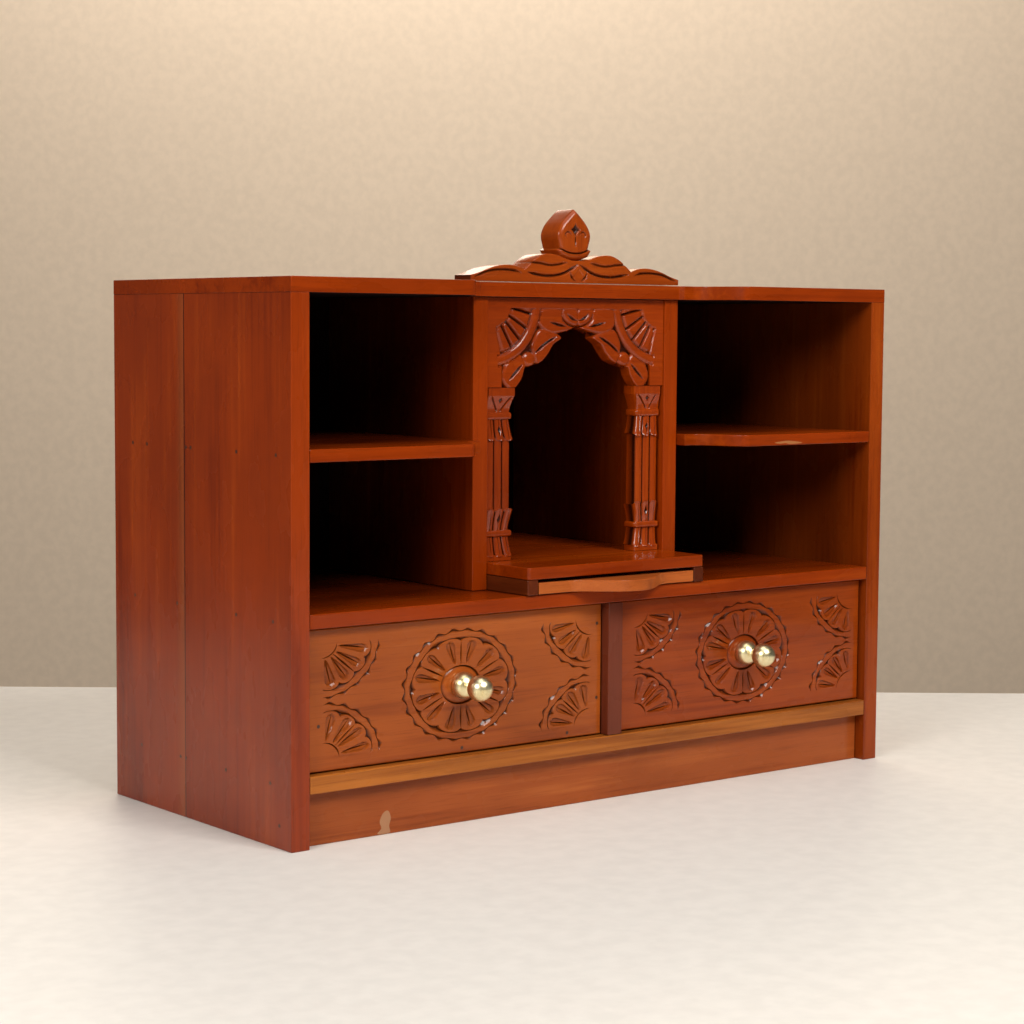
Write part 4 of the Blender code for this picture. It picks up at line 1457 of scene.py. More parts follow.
@dataclass
class Crest:
    """The wavy crest on the top board, with its long grooves and the bud in its middle."""

    wood: VarnishedWood
    end_wood: VarnishedWood
    node: str = "crest"
    seat: float = 6.3
    dip: float = 17.6
    rise: float = 22.4
    arris: float = 1.1

    def top(self, half: float) -> list[Point]:
        """The right half of the wavy top.

        Args:
            half: Half the crest's length.

        Returns:
            The points.
        """
        high = [
            (self.seat, self.dip), (2 * self.seat, 1.085 * self.dip), (0.209 * half, 0.978 * self.rise),
            (0.316 * half, self.rise), (0.409 * half, 0.826 * self.rise), (0.516 * half, 0.446 * self.rise),
        ]
        low = [
            (0.516 * half, 0.446 * self.rise), (0.595 * half, 0.563 * self.rise),
            (0.698 * half, 0.580 * self.rise), (0.809 * half, 0.482 * self.rise),
            (0.912 * half, 0.313 * self.rise), (half, 0.201 * self.rise),
        ]
        return [(0.0, self.dip), *smooth(high, 6)[:-1], *smooth(low, 6)]

    def relief(self, across: np.ndarray, up: np.ndarray) -> tuple[np.ndarray, np.ndarray]:
        """How deep the carving goes at each point, and how dark its cuts are painted: dark varnish and
        painted shade.

        Args:
            across: Millimetres from the middle.
            up: Millimetres above the lower edge.

        Returns:
            The depth and the darkness.
        """
        cuts = (
            ([(104.0, 3.0), (91.0, 7.5), (78.0, 9.0), (66.0, 8.5), (59.0, 7.0)], 2.8, 1.9),
            ([(52.0, 15.5), (40.0, 14.8), (27.0, 13.4), (12.0, 15.8)], 2.7, 1.8),
            ([(52.0, 7.5), (33.5, 5.0), (16.5, 7.0), (1.3, 14.2)], 3.1, 2.2),
            ([(9.0, 9.0), (7.2, 4.8), (3.0, 1.2)], 2.7, 2.2),
        )
        carved = np.zeros(across.shape)
        for knots, width, deep in cuts:
            carved = np.maximum(carved, groove(across, up, smooth(knots, 6), width, deep))
        wedge = (up < 11 - 1.1 * across) & (up > 1.0) & (across < 6.5)
        swell = 0.5 * np.cos(np.clip(across / 52.0, 0, 1) * math.pi * 2) * np.clip(up / 20, 0, 1)
        depth = carved + np.where(wedge, 0.5, 0.0) + np.clip(0.4 - swell, 0, 1) * 0.4
        # The grooves are painted darker the deeper they go: dark varnish and painted shade.
        return depth, np.clip(carved / 2.0, 0, 1)

    def build(self) -> bpy.types.Object:
        """Carve the crest on a net of upright rows under its top line.

        Returns:
            The finished crest.
        """
        low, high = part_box(self.node)
        half = (high.x - low.x) / 2 / MM
        line = self.top(half)
        us = np.linspace(-half, half, 431)
        tops = np.interp(np.abs(us), [p[0] for p in line], [p[1] for p in line])
        shares = np.linspace(0, 1, 48)
        across = np.repeat(us[None, :], len(shares), axis=0)
        up = shares[:, None] * tops[None, :]
        depth, _ = self.relief(np.abs(across), up)
        from_edge = np.minimum(tops[None, :] - up, half - np.abs(across))
        depth = depth + rounded(from_edge, self.arris)
        blank = ReliefPiece(f"{self.node}_look", low.y, high.y)
        piece = blank.build(across, up, depth, Vector((0, 0, low.z)))
        mark_cuts(piece, low.y, lambda p: self.relief(np.abs(p[:, 0]) / MM, (p[:, 2] - low.z) / MM)[1])
        woods = (self.wood.material(), self.end_wood.material())
        dress(piece, Body.CABINET, "varnished_wood", [self.node], *woods)
        for polygon in piece.data.polygons:
            if abs(polygon.normal.x) > 0.95:
                polygon.material_index = 1
        return piece


@dataclass
class Finial:
    """The spade-shaped finial, with a four-pointed star, a slit, two curls and a lip over its foot."""

    wood: VarnishedWood
    node: str = "finial"
    foot: float = 6.0
    wider: float = 1.06
    deeper: float = 0.003
    arris: float = 4.2
    rows: int = 110
    columns: int = 91

    def edge(self, half: float, tall: float) -> list[Point]:
        """The right half of the outline as half width and height, from the foot up.

        Args:
            half: Half the finial's width.
            tall: Its height.

        Returns:
            The points.
        """
        knots = [
            (0.80 * half, 0.24 * tall), (0.84 * half, 0.30 * tall), (0.93 * half, 0.50 * tall),
            (0.72 * half, 0.70 * tall), (0.28 * half, 0.90 * tall), (0.02, tall),
        ]
        base = [(self.foot, 0.0), (0.78 * half, 0.07 * tall), (0.98 * half, 0.20 * tall)]
        return [*base, *smooth(knots, 5)]

    def relief(self, across: np.ndarray, up: np.ndarray, tall: float) -> tuple[np.ndarray, np.ndarray]:
        """How deep the carving goes at each point, and how dark its cuts are painted: dark varnish and
        painted shade.

        Args:
            across: Millimetres from the middle.
            up: Millimetres above the lower edge.
            tall: The finial's height.

        Returns:
            The depth and the darkness.
        """
        star_up = up - 0.60 * tall
        star = np.clip(1 - (np.abs(across) / 5.8) ** 0.72 - (np.abs(star_up) / 6.2) ** 0.72, 0, 1) * 5.0
        slit = groove(across, up, [(0.0, 0.50 * tall), (0.0, 0.28 * tall)], 1.8, 1.8)
        curl_line = [(4.0, 0.50 * tall), (7.5, 0.555 * tall), (10.4, 0.51 * tall), (9.2, 0.45 * tall)]
        curl = groove(across, up, smooth(curl_line, 5), 1.7, 1.3)
        lip_line = [(-4.0, 0.135 * tall), (4.0, 0.14 * tall), (10.0, 0.175 * tall), (16.5, 0.245 * tall)]
        lip = groove(across, up, smooth(lip_line, 5), 1.8, 1.9)
        cuts = np.maximum.reduce([np.clip(star, 0, 2.0), slit, curl, lip])
        # The cuts are painted darker the deeper they go: dark varnish and painted shade.
        return cuts, np.clip(cuts / 1.5, 0, 1)

    def build(self) -> bpy.types.Object:
        """Carve the finial on a net of level rows inside its outline.

        Returns:
            The finished finial.
        """
        low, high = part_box(self.node)
        half = (high.x - low.x) / 2 / MM * self.wider
        tall = (high.z - low.z) / MM
        line = self.edge(half, tall)
        vs = np.linspace(0, tall, self.rows)
        widths = np.interp(vs, [p[1] for p in line], [p[0] for p in line])
        shares = np.linspace(-1, 1, self.columns)
        across = widths[:, None] * shares[None, :]
        up = np.repeat(vs[:, None], self.columns, axis=1)
        depth, _ = self.relief(np.abs(across), up, tall)
        outline = [*line, *[(-u, v) for u, v in reversed(line)]]
        from_edge = away_from_line(across, up, outline, closed=True)
        depth = depth + rounded(from_edge, self.arris)
        blank = ReliefPiece(f"{self.node}_look", low.y, high.y + self.deeper)
        piece = blank.build(across, up, depth, Vector((0, 0, low.z)))
        mark_cuts(
            piece, low.y,
            lambda p: self.relief(np.abs(p[:, 0]) / MM, (p[:, 2] - low.z) / MM, tall)[1],
        )
        dress(piece, Body.CABINET, "varnished_wood", [self.node], self.wood.material())
        return piece


@dataclass
class Column:
    """A reeded column, with a foot of lotus petals, bands, leaf collars and a flared cap."""

    side: int
    wood: VarnishedWood
    drawn_width: float = 27.4
    drawn_depth: float = 13.6
    reeds: int = 3
    around: int = 108
    rows: int = 420

    def stretch_at(self, share: float) -> tuple[float, str, float]:
        """What the column is like at a height.

        Args:
            share: The height as a share of the column's.

        Returns:
            Half width in millimetres, the kind of stretch, and the way up the stretch from 0 to 1.
        """
        stretches = (
            (-0.1, 0.030, 13.4, 13.4, "plain"),
            (0.030, 0.140, 14.8, 11.4, "petals"),
            (0.140, 0.176, 13.6, 13.6, "band"),
            (0.176, 0.290, 11.4, 15.0, "leaves_up"),
            (0.290, 0.706, 12.0, 12.0, "reeds"),
            (0.706, 0.818, 15.0, 11.4, "leaves_down"),
            (0.818, 0.858, 13.0, 13.0, "band"),
            (0.858, 0.952, 11.4, 15.2, "cap"),
            (0.952, 1.1, 15.4, 15.4, "plain"),
        )
        low, high, start, end, kind = next(row for row in stretches if row[0] <= share < row[1])
        t = (share - low) / (high - low)
        bends = {"petals": 0.7, "leaves_up": 1.5, "leaves_down": 0.65, "cap": 1.5}
        width = start + (end - start) * t ** bends.get(kind, 1.0)
        if kind == "band":
            width -= 1.2 * (2 * t - 1) ** 4
        return width, kind, t

    def sway(self, share: float, lobe: float) -> float:
        """How far the collars' edges run on at the middle of each leaf, as a share of the height.

        Args:
            share: The height as a share.
            lobe: How near the leaf's middle is, from 0 to 1.

        Returns:
            The share.
        """
        moves = ((0.706, 0.024), (0.290, -0.026), (0.030, 0.014))
        return sum(
            max(0.0, 1 - abs(share - place) / 0.045) * reach * (lobe - 0.35) for place, reach in moves
        )

    def relief(self, t: float, kind: str, way: float) -> tuple[float, float]:
        """How far the front falls back at a place, and how dark it is.

        Args:
            t: The way across the front, 0 at the wall.
            kind: The stretch that the place is in.
            way: The way up the stretch.

        Returns:
            Millimetres back from the stretch's front, and how dark it is painted there: dark varnish in
            cuts, and painted shade in creases.
        """
        from_middle = abs(2 * ((t * self.reeds) % 1) - 1)
        round_back = 1 - math.sqrt(max(0.0, 1 - 0.97 * from_middle**2))
        # Painted shade in the creases between reeds and between leaves; the ribs, eyes and cap cuts are
        # painted dark as well.
        crease = min(1.0, max(0.0, (from_middle - 0.78) / 0.18))
        edge = 2.2 * max(0.0, 1 - (1 - t) / 0.07) ** 2
        across = (t - 0.5) * 25.0
        if kind == "reeds":
            return edge * 0.4 + 2.7 * round_back, crease
        if kind in ("leaves_up", "leaves_down", "petals"):
            tip = way if kind == "leaves_up" else 1 - way
            gap = (2.8 + 1.6 * tip) * round_back
            rib = max(0.0, 1 - abs((t * self.reeds) % 1 - 0.5) / 0.055)
            rib *= min(1.0, 2.5 * (1 - tip) + 0.15)
            eye = max(0.0, 1 - abs(across) / 2.0 - abs(tip - 0.55) / 0.28) if kind != "petals" else 0.0
            dark = max(crease, 0.7 * rib, min(1.0, 2.2 * eye))
            return edge + gap + 0.7 * rib + 1.6 * min(1.0, 2.0 * eye), dark
        if kind == "cap":
            slant = abs(abs(across) - 1.2 - 8.0 * way)
            cut = max(0.0, 1 - slant / 1.1) * min(1.0, 6 * (1 - way), 6 * way)
            bud = max(0.0, 1 - abs(across) / 2.2 - abs(way - 0.72) / 0.2)
            return edge + 1.5 * cut + 1.2 * min(1.0, 2 * bud), max(0.9 * cut, min(1.0, 2 * bud))
        return edge, 0.0

    def build(self) -> bpy.types.Object:
        """Loft the column row by row round its front and sides, straight against the wall.

        Returns:
            The finished column.
        """
        name = "left_column" if self.side < 0 else "right_column"
        low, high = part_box(name)
        wall = high.x if self.side > 0 else low.x
        tall = high.z - low.z
        wide = (high.x - low.x) / MM / self.drawn_width
        deep_scale = (high.y - low.y) / MM / self.drawn_depth
        verts, faces, dark = [], [], []
        for row in range(self.rows):
            share = row / (self.rows - 1)
            z = low.z + tall * share
            for step in range(self.around + 1):
                t = step / self.around
                lobe = abs(math.sin(math.pi * self.reeds * t))
                half, kind, way = self.stretch_at(share + self.sway(share, lobe))
                back, shade = self.relief(t, kind, way)
                deep = self.drawn_depth - (15.4 - half) * 0.62 - back
                x = wall - self.side * wide * (12.0 + half) * t * MM
                verts.append((x, high.y - deep_scale * deep * MM, z))
                dark.append(shade)
            verts += [(verts[-1][0], high.y, z), (wall, high.y, z)]
            dark += [0.0, 0.0]
        ring = self.around + 3
        for row in range(self.rows - 1):
            for step in range(ring):
                a = row * ring + step
                b = row * ring + (step + 1) % ring
                faces.append((a, b, b + ring, a + ring))
        faces.append(tuple(reversed(range(ring))))
        faces.append(tuple(range((self.rows - 1) * ring, self.rows * ring)))
        piece = new_object(f"{name}_look", verts, faces)
        attribute = piece.data.attributes.new("cut", "FLOAT", "POINT")
        attribute.data.foreach_set("value", dark)
        select_only(piece)
        bpy.ops.object.mode_set(mode="EDIT")
        bpy.ops.mesh.select_all(action="SELECT")
        bpy.ops.mesh.normals_make_consistent(inside=False)
        bpy.ops.object.mode_set(mode="OBJECT")
        bpy.ops.object.shade_smooth_by_angle(angle=math.radians(45))
        dress(piece, Body.CABINET, "varnished_wood", [name], self.wood.material())
        return piece


@dataclass
class Knob:
    """A turned brass knob: a ball-like foot, a thin neck and a round head."""

    side: str
    body: Body
    head_share: float = 0.98
    neck: float = 0.0034
    foot_middle: float = 0.0034
    segments: int = 64

    def build(self, brass: bpy.types.Material) -> bpy.types.Object:
        """Spin the knob's profile round its axis.

        Args:
            brass: The knob's material.

        Returns:
            The finished knob.
        """
        node = f"{self.side}_drawer_knob"
        low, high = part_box(node)
        centre = (low + high) / 2
        reach = high.y - low.y
        foot = (high.z - low.z) / 2
        head = foot * self.head_share
        neck = self.neck
        profile = [(0.0, reach)]
        profile += [
            (head * math.sin(a), reach - head + head * math.cos(a))
            for a in np.linspace(0.12, 2.72, 22)
        ]
        waist = reach - 2 * head
        profile += [(neck, waist + 0.0002), (neck, waist - 0.0010)]
        middle = self.foot_middle
        profile += [
            (max(neck, foot * math.sin(a)), middle + (waist - 0.0012 - middle) * math.cos(a))
            for a in np.linspace(0.42, math.pi / 2, 12)
        ]
        profile += [(foot * 0.985, middle * 0.5), (foot * 0.94, 0.0), (0.0, 0.0)]
        verts = [(centre.x + across, high.y - up, centre.z) for across, up in profile]
        piece = new_object(f"{node}_look", verts, [])
        piece.data.edges.add(len(verts) - 1)
        for index, edge in enumerate(piece.data.edges):
            edge.vertices = (index, index + 1)
        piece.data.update()
        select_only(piece)
        bpy.ops.object.mode_set(mode="EDIT")
        bpy.ops.mesh.select_all(action="SELECT")
        bpy.ops.mesh.spin(
            steps=self.segments, angle=2 * math.pi, center=(centre.x, centre.y, centre.z), axis=(0, 1, 0)
        )
        bpy.ops.mesh.select_all(action="SELECT")
        bpy.ops.mesh.remove_doubles(threshold=1e-5)
        bpy.ops.mesh.normals_make_consistent(inside=False)
        bpy.ops.object.mode_set(mode="OBJECT")
        bpy.ops.object.shade_smooth_by_angle(angle=math.radians(45))
        dress(piece, self.body, "polished_brass", [node], brass)
        return piece


@dataclass
class Case:
    """The case's straight and shaped boards, with outlines drawn in metres in the model's frame."""

    front: float
    divider_outer: float = 0.106
    shoulder_beyond: float = 0.040
    curve_run: float = 0.033
    top_recess: float = 0.040
    shelf_recess: float = 0.038
    platform_corner: float = 0.003
    tray_setback: float = 0.0258
    tray_bulge: float = 0.052
    side_play: float = 0.00006
    let_in: float = 0.0006
    steps: int = 36

    def curve(self, recess: float) -> list[Point]:
        """The S-shaped part of a front edge on the right, from its shoulder back to the divider.

        Args:
            recess: How far back it runs.

        Returns:
            The points.
        """
        shoulder = self.divider_outer + self.shoulder_beyond
        shares = [step / self.steps for step in range(self.steps + 1)]
        return [
            (
                shoulder - self.curve_run * t,
                self.front + recess * (t - math.sin(2 * math.pi * t) / (2 * math.pi)),
            )
            for t in shares
        ]

    def top_outline(self) -> list[Point]:
        """The top board's outline.

        Returns:
            The outline.
        """
        low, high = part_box("top_board")
        right = [
            (self.divider_outer - 0.003, self.front + 0.044),
            (self.divider_outer, self.front + self.top_recess),
            *reversed(self.curve(self.top_recess)),
        ]
        right += [(high.x, low.y), (high.x, high.y)]
        return right + [(-x, y) for x, y in reversed(right)]

    def shelf_outline(self, side: int) -> list[Point]:
        """A shelf's outline.

        Args:
            side: -1 for the left shelf, 1 for the right one.

        Returns:
            The outline.
        """
        low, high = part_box("left_shelf" if side < 0 else "right_shelf")
        outer = max(abs(low.x), abs(high.x))
        inner = min(abs(low.x), abs(high.x))
        points = [
            (inner, high.y), (inner, self.front + self.shelf_recess),
            *reversed(self.curve(self.shelf_recess)), (outer, low.y), (outer, high.y),
        ]
        return [(side * x, y) for x, y in points]

    def platform_outline(self) -> list[Point]:
        """The altar platform's outline, its front corners rounded.

        Returns:
            The outline.
        """
        low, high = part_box("altar_platform")
        radius = self.platform_corner
        right = arc((high.x - radius, low.y + radius), radius, -90, 0, 8)
        return right + [(high.x, high.y), (low.x, high.y)] + [(-x, y) for x, y in reversed(right)]

    def tray_outline(self) -> list[Point]:
        """The tray's outline, with the bell-shaped bulge in its front.

        Returns:
            The outline.
        """
        low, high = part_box("pull_out_tray")
        deep = self.tray_setback
        reach = self.tray_bulge
        shares = [step / self.steps for step in range(self.steps + 1)]
        bell = [
            (reach * t, low.y + deep - deep * (0.5 + 0.5 * math.cos(math.pi * t**1.15)))
            for t in shares
        ]
        right = [*bell, (high.x, low.y + deep), (high.x, high.y)]
        return right + [(-x, y) for x, y in reversed(right[1:])]

    def build(self, edge: bpy.types.Material, worn_and_sheen: bpy.types.Material) -> None:
        """Make the case's boards.

        Args:
            edge: The material of its usual edges.
            worn_and_sheen: The brighter material of much handled edges: rubbed stain, and a painted
                highlight along the arris.
        """
        glue = self.front + 0.1474
        for index, word in enumerate(("left", "right")):
            seed = 3 + 5 * index
            side = (-1, 1)[index]
            line = glue if side < 0 else None
            # Painted shade darkens the panels' inner faces, the dividers and the shelves behind the front
            # edge.
            panel = VarnishedWood(
                f"{word}_side_panel_wood", (HONEY_RED, HONEY_RUST)[index], Grain.ALONG_Z, seed, 0.25,
                coat=(0.60, 0.28)[index], coat_haze=(0.22, 0.07)[index], glue_line_y=line,
                painted_shade_y=self.front - 0.02, painted_shade_x=0.2875,
            )
            stand_back = (self.side_play, 0.0, 0.0) if side < 0 else (0.0, 0.0, 0.0)
            pull_in = (-self.side_play if side > 0 else 0.0, 0.0, self.let_in)
            Board(f"{word}_side_panel", panel, low_shift=stand_back, high_shift=pull_in).build(edge)
            divider = VarnishedWood(
                f"{word}_divider_wood", HONEY_RED, Grain.ALONG_Z, seed + 1, painted_shade_y=self.front + 0.055
            )
            Board(f"{word}_divider", divider, high_shift=(0.0, 0.0, self.let_in)).build(worn_and_sheen)
            runner = VarnishedWood(f"{word}_runner_wood", END_GRAIN, Grain.ALONG_Y, seed + 2, 0.45)
            Board(f"{word}_runner", runner).build(edge)
            shelf_wood = VarnishedWood(
                f"{word}_shelf_wood", HONEY_RED, Grain.ALONG_X, seed + 3, painted_shade_y=self.front + 0.02
            )
            ShapedBoard(f"{word}_shelf", shelf_wood, outline=self.shelf_outline(side)).build(worn_and_sheen)
        top = VarnishedWood("top_board_wood", HONEY_RED, Grain.ALONG_X, 21)
        lid = ShapedBoard("top_board", top, arris=0.0006, outline=self.top_outline()).build(worn_and_sheen)
        # The underside gets the near black red: bare wood, and painted shade.
        bare = VarnishedWood("bare_underside_wood", DEEP_RED_AND_SHADE, Grain.ALONG_X, 22, 0.85, coat=0.0)
        lid.data.materials.append(bare.material())
        for polygon in lid.data.polygons:
            if polygon.normal.z < -0.6:
                polygon.material_index = 2
        # Painted shade darkens the mid board behind its front edge.
        middle = VarnishedWood("mid_board_wood", HONEY_RED, Grain.ALONG_X, 23, painted_shade_y=self.front + 0.01)
        Board("mid_board", middle).build(worn_and_sheen)
        golden = VarnishedWood("bottom_board_wood", GOLDEN, Grain.ALONG_X, 25)
        Board("bottom_board", golden, slot="pale_varnished_wood").build(worn_and_sheen)
        Board("kick_board", VarnishedWood("kick_board_wood", LIGHT_HONEY, Grain.ALONG_X, 27)).build(edge)
        partition = VarnishedWood("drawer_partition_wood", DULL_BROWN, Grain.ALONG_Z, 29)
        Board("drawer_partition", partition).build(edge)
        # The back panel's near black red is partly painted shade for the dark bays.
        back = VarnishedWood("back_panel_wood", DEEP_RED_AND_SHADE, Grain.ALONG_Z, 31, 0.40)
        Board("back_panel", back, arris=0.0001, high_shift=(0.0, 0.0, self.let_in)).build(back.material())
        platform = VarnishedWood("altar_platform_wood", HONEY_RED, Grain.ALONG_X, 33)
        ShapedBoard("altar_platform", platform, outline=self.platform_outline()).build(worn_and_sheen)
        tray = VarnishedWood("pull_out_tray_wood", SAWN_ORANGE, Grain.ALONG_X, 35, 0.42)
        ShapedBoard("pull_out_tray", tray, Body.TRAY, arris=0.0005, outline=self.tray_outline()).build(worn_and_sheen)


@dataclass
class Drawer:
    """A drawer: carved front, knob and plain box."""

    side: str
    body: Body
    seed: int
    fans: tuple[Wheel, ...]
    stain: Stain = HONEY

    def build(self, edge: bpy.types.Material, brass: bpy.types.Material) -> None:
        """Make the drawer's pieces.

        Args:
            edge: The material of its edges.
            brass: The knob's material.
        """
        front = VarnishedWood(
            f"{self.side}_drawer_front_wood", self.stain, Grain.ALONG_X, self.seed, 0.30,
            coat=0.40, cuts=True,
        )
        ChipCarvedFront(f"{self.side}_drawer_front", self.body, front, self.seed, self.fans).build()
        Knob(self.side, self.body).build(brass)
        for index, word in enumerate(("left_side", "right_side")):
            wood = VarnishedWood(
                f"{self.side}_drawer_{word}_wood", HONEY_RED, Grain.ALONG_Y, self.seed + 2 + index, 0.4
            )
            Board(f"{self.side}_drawer_{word}", wood, self.body).build(edge)
        back = VarnishedWood(f"{self.side}_drawer_back_wood", HONEY_RED, Grain.ALONG_X, self.seed + 5, 0.4)
        Board(f"{self.side}_drawer_back", back, self.body).build(edge)
        floor = VarnishedWood(f"{self.side}_drawer_bottom_wood", GOLDEN, Grain.ALONG_X, self.seed + 6, 0.4)
        Board(f"{self.side}_drawer_bottom", floor, self.body, "pale_varnished_wood", 0.0005).build(edge)


@dataclass
class NailFillings:
    """Round fillings over sunk nails: discs flush with the panels, and just proud of the drawer front."""

    front: float
    radius: float = 0.0014
    thick: float = 0.0008
    proud: float = 0.00005

    def disc(self, place: Vector, turn: Euler) -> bpy.types.Object:
        """One filling: a thin disc.

        Args:
            place: Its middle.
            turn: How it is turned.

        Returns:
            The disc.
        """
        bpy.ops.object.select_all(action="DESELECT")
        bpy.ops.mesh.primitive_cylinder_add(
            vertices=12, radius=self.radius, depth=self.thick, location=place, rotation=turn
        )
        piece = bpy.context.active_object
        settle(piece)
        return piece

    def build(self, filler: bpy.types.Material) -> None:
        """Set the fillings of both side panels and of the left drawer front.

        Args:
            filler: Their material.
        """
        rows = (
            (0.282, (0.020, 0.073, 0.138, 0.145, 0.204, 0.226)),
            (0.163, (0.024, 0.074, 0.159, 0.224)),
            (0.046, (0.028, 0.089, 0.147, 0.155, 0.215)),
            (0.017, (0.016,)),
        )
        for word, side in (("left", -1), ("right", 1)):
            low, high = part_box(f"{word}_side_panel")
            face = low.x if side < 0 else high.x
            inward = -side * self.thick / 2
            discs = [
                self.disc(Vector((face + inward, self.front + y, z)), Euler((0, math.pi / 2, 0)))
                for z, places in rows for y in places
            ]
            self.join(discs, f"{word}_panel_nail_fillings", Body.CABINET, filler)
        low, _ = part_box("left_drawer_front")
        spots = ((-0.0133, 0.142), (-0.0133, 0.083), (-0.043, 0.058), (-0.146, 0.0575), (-0.275, 0.087))
        discs = [
            self.disc(Vector((x, low.y + self.thick / 2 - self.proud, z)), Euler((math.pi / 2, 0, 0)))
            for x, z in spots
        ]
        self.join(discs, "left_drawer_nail_fillings", Body.LEFT_DRAWER, filler)

    def join(
        self, discs: Sequence[bpy.types.Object], name: str, body: Body, filler: bpy.types.Material
    ) -> None:
        """Join the discs of one board into one piece.

        Args:
            discs: The discs.
            name: The piece's name.
            body: The body it rides on.
            filler: Its material.
        """
        bpy.ops.object.select_all(action="DESELECT")
        for disc in discs:
            disc.select_set(True)
        bpy.context.view_layer.objects.active = discs[0]
        bpy.ops.object.join()
        piece = bpy.context.active_object
        piece.name = name
        dress(piece, body, "varnished_wood", [], filler)


@dataclass
class PalePatch:
    """A spot of bare wood or putty on a front face, drawn in metres and hardly proud of it."""

    name: str
    node: str
    outline: tuple[Point, ...]
    proud: float = 0.00005

    def build(self, paint: bpy.types.Material) -> None:
        """Fill the outline and extrude it back into the board.

        Args:
            paint: Its material.
        """
        low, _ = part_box(self.node)
        flat = [(x, low.y - self.proud, z) for x, z in smooth(self.outline, 4, closed=True)]
        piece = new_object(self.name, flat, [tuple(range(len(flat)))])
        select_only(piece)
        bpy.ops.object.mode_set(mode="EDIT")
        bpy.ops.mesh.select_all(action="SELECT")
        bpy.ops.mesh.extrude_region_move(TRANSFORM_OT_translate={"value": (0, 0.0004, 0)})
        bpy.ops.mesh.select_all(action="SELECT")
        bpy.ops.mesh.normals_make_consistent(inside=False)
        bpy.ops.object.mode_set(mode="OBJECT")
        dress(piece, Body.CABINET, "varnished_wood", [], paint)


@dataclass(frozen=True)
class Studio:
    """The plain room: floor, backdrop, soft lights and the camera of the photograph."""

    front: float
    eye_across: float = -1.1623
    eye_before_front: float = 1.3342
    eye_up: float = 0.3718
    yaw: float = 38.39
    pitch: float = 4.62
    roll: float = -0.39
    focal_pixels: float = 2260.8
    picture_pixels: float = 1024.0
    sensor_mm: float = 36.0
    wall_behind: float = 2.9
    wall_middle: float = 1.4

    def camera(self) -> None:
        """Set the camera where the photograph's stood."""
        yaw, pitch, roll = (math.radians(value) for value in (self.yaw, self.pitch, self.roll))
        level = math.cos(pitch)
        forward = Vector((math.sin(yaw) * level, math.cos(yaw) * level, -math.sin(pitch)))
        right = Vector((math.cos(yaw), -math.sin(yaw), 0.0))
        down = forward.cross(right)
        level_right = right * math.cos(roll) + down * math.sin(roll)
        level_down = down * math.cos(roll) - right * math.sin(roll)
        turned = Matrix((level_right, -level_down, -forward)).transposed()
        data = bpy.data.cameras.new("photograph_camera")
        data.lens = self.focal_pixels / self.picture_pixels * self.sensor_mm
        data.sensor_width = self.sensor_mm
        data.clip_start = 0.05
        camera = bpy.data.objects.new("photograph_camera", data)
        eye = Vector((self.eye_across, self.front - self.eye_before_front, self.eye_up))
        camera.matrix_world = Matrix.Translation(eye) @ turned.to_4x4()
        bpy.context.scene.collection.objects.link(camera)
        bpy.context.scene.camera = camera

    def lamp(
        self, name: str, place: Sequence[float], aim: Sequence[float], size: Sequence[float],
        power: float, colour: Colour,
    ) -> None:
        """Hang one soft rectangular light and turn it to what it lights.

        Args:
            name: Its name.
            place: Where it hangs.
            aim: What it is turned to.
            size: Its two sides.
            power: Its power in watts.
            colour: Its colour.
        """
        data = bpy.data.lights.new(name, "AREA")
        data.shape = "RECTANGLE"
        data.size, data.size_y = size
        data.energy = power
        data.color = colour
        lamp = bpy.data.objects.new(name, data)
        lamp.location = place
        lamp.rotation_euler = (Vector(aim) - Vector(place)).to_track_quat("-Z", "Y").to_euler()
        bpy.context.scene.collection.objects.link(lamp)

    def build(self) -> None:
        """Lay the floor and backdrop, hang the lights and set the camera."""
        floor_paint = PlainPaint("floor_paper", (0.80, 0.765, 0.71), 0.45)
        wall_paint = PlainPaint("backdrop_paper", (0.80, 0.625, 0.455), 0.9)
        yaw = math.radians(self.yaw)
        far = Vector((math.sin(yaw), math.cos(yaw), 0.0)) * self.wall_behind
        for name, size, place, turn, paint in (
            ("floor", 2.4, (-0.469, -0.574, 0), (0, 0, -yaw), floor_paint),
            ("backdrop", 5.0, far + Vector((0, 0, self.wall_middle)), (math.pi / 2, 0, -yaw), wall_paint),
        ):
            bpy.ops.object.select_all(action="DESELECT")
            bpy.ops.mesh.primitive_plane_add(size=size, location=place, rotation=turn)
            sheet = bpy.context.active_object
            sheet.name = name
            settle(sheet)
            sheet.data.materials.append(paint.material())
        self.lamp("key_light", (0.0, -1.95, 1.80), (0, -0.1, 0.2), (1.1, 0.8), 48.0, (1.0, 0.975, 0.935))
        self.lamp("side_light", (-2.3, -1.0, 1.3), (-0.3, 0, 0.2), (1.0, 0.8), 37.0, (1.0, 0.975, 0.935))
        self.lamp("ceiling_light", (-0.2, -0.4, 2.4), (0, 0, 0.2), (1.4, 1.4), 12.0, (1.0, 0.985, 0.96))
        self.lamp("wall_light", (1.2, 1.9, 2.6), (3.0, 3.8, 0.6), (1.6, 0.6), 72.0, (1.0, 0.985, 0.96))
        self.lamp("rear_light", (0.9, 2.1, 1.7), (0, 0.1, 0.2), (1.0, 0.8), 5.0, (1.0, 0.985, 0.96))
        world = bpy.data.worlds.new("room_air")
        world.use_nodes = True
        air = world.node_tree.nodes["Background"]
        air.inputs["Color"].default_value = (0.95, 0.96, 1.0, 1.0)
        air.inputs["Strength"].default_value = 0.08
        bpy.context.scene.world = world
        bpy.context.scene.view_settings.view_transform = "Standard"
        self.camera()


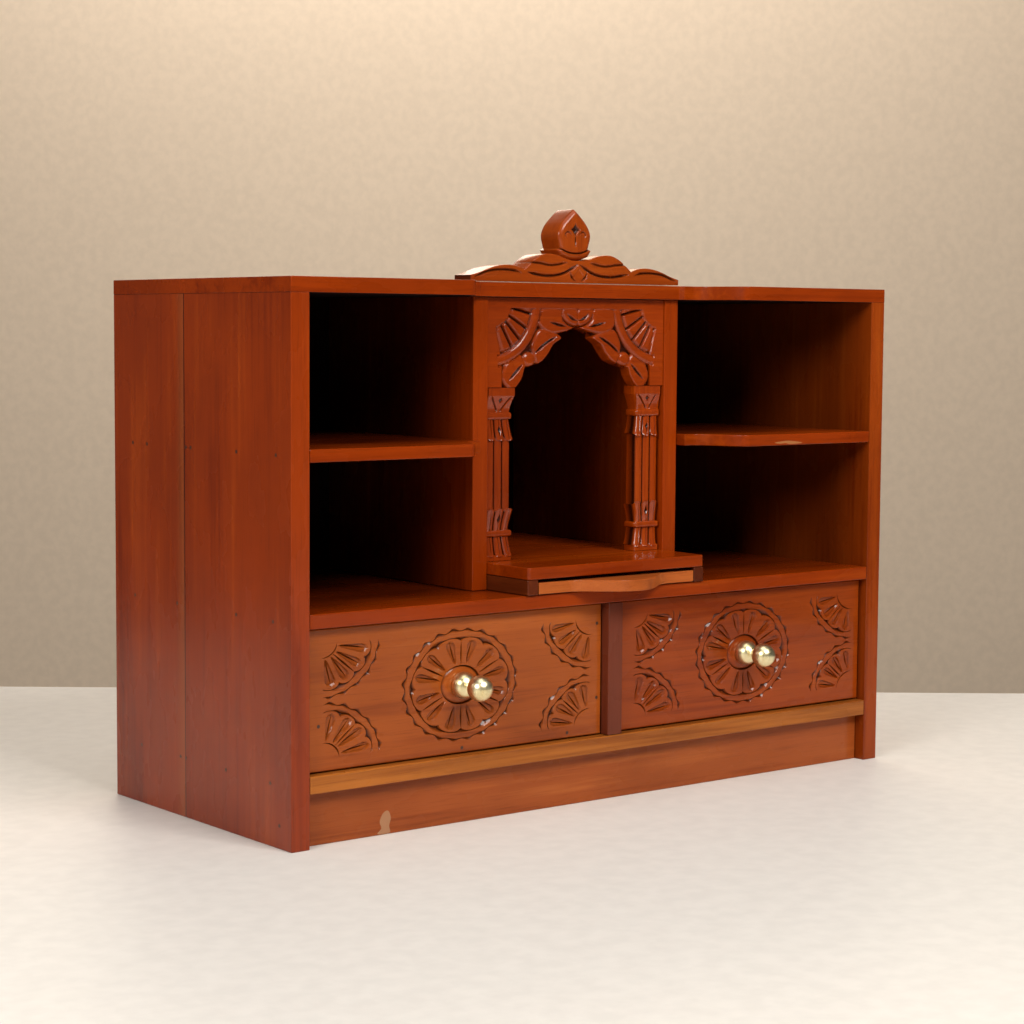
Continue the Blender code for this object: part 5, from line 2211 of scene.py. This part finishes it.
def main() -> None:
    """Build the cabinet's looks and the room."""
    logging.basicConfig(level=logging.INFO, format="%(name)s: %(message)s")
    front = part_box("left_side_panel")[0].y
    edge = VarnishedWood("edge_wood", HONEY_RED, Grain.ALONG_X, 41, 0.22).material()
    # The brighter edges: rubbed stain and painted highlight.
    worn_and_sheen = VarnishedWood("worn_and_sheen_edge_wood", WORN_AND_SHEEN_ORANGE, Grain.ALONG_X, 43, 0.20).material()
    brass = PolishedBrass().material()
    filler = PlainPaint("dark_filler", (0.055, 0.018, 0.008), 0.4).material()
    Case(front).build(edge, worn_and_sheen)
    ArchPanel(VarnishedWood("arch_panel_wood", HONEY_RED, Grain.ALONG_X, 51, coat=0.6, cuts=True)).build()
    for side, word in ((-1, "left"), (1, "right")):
        reeded = VarnishedWood(
            f"{word}_column_wood", HONEY_RED, Grain.ALONG_Z, 55 + side, 0.22, coat=0.9, cuts=True
        )
        Column(side, reeded).build()
    end_wood = VarnishedWood("crest_end_wood", END_GRAIN, Grain.ALONG_Y, 57, 0.35)
    Crest(VarnishedWood("crest_wood", HONEY_RUST, Grain.ALONG_X, 58, coat=0.4, cuts=True), end_wood).build()
    Finial(VarnishedWood("finial_wood", HONEY_RUST, Grain.ALONG_Z, 60, coat=0.5, cuts=True)).build()
    left_fans = (
        Wheel(-125.3, 40.8, 10.4, start=270),
        Wheel(-124.4, -42.3, 11.2, start=0),
        Wheel(129.0, 41.1, 13.4, start=180),
        Wheel(127.6, -43.4, 13.0, start=90),
    )
    right_fans = (
        Wheel(-121.8, 41.1, 11.4, start=270),
        Wheel(-122.2, -42.0, 11.0, start=0),
        Wheel(129.6, 41.5, 14.4, start=180),
        Wheel(130.4, -41.2, 14.2, start=90),
    )
    Drawer("left", Body.LEFT_DRAWER, 61, left_fans).build(edge, brass)
    Drawer("right", Body.RIGHT_DRAWER, 81, right_fans, HONEY_RUST).build(edge, brass)
    NailFillings(front).build(filler)
    bare = PlainPaint("bare_wood", (0.37, 0.125, 0.030), 0.6).material()
    putty = PlainPaint("putty", (0.36, 0.165, 0.075), 0.7).material()
    PalePatch("kick_board_putty", "kick_board", (
        (-0.2215, 0.0010), (-0.2105, 0.0008), (-0.2110, 0.0060), (-0.2095, 0.0120),
        (-0.2120, 0.0175), (-0.2165, 0.0160), (-0.2195, 0.0100), (-0.2180, 0.0050),
    )).build(putty)
    PalePatch("right_shelf_chip", "right_shelf", (
        (0.1725, 0.2795), (0.1780, 0.2785), (0.1850, 0.2788), (0.1900, 0.2780), (0.2020, 0.2782),
        (0.2045, 0.2790), (0.1950, 0.2802), (0.1880, 0.2808), (0.1800, 0.2803),
    )).build(bare)
    Studio(front).build()


if __name__ == "__main__":
    main()
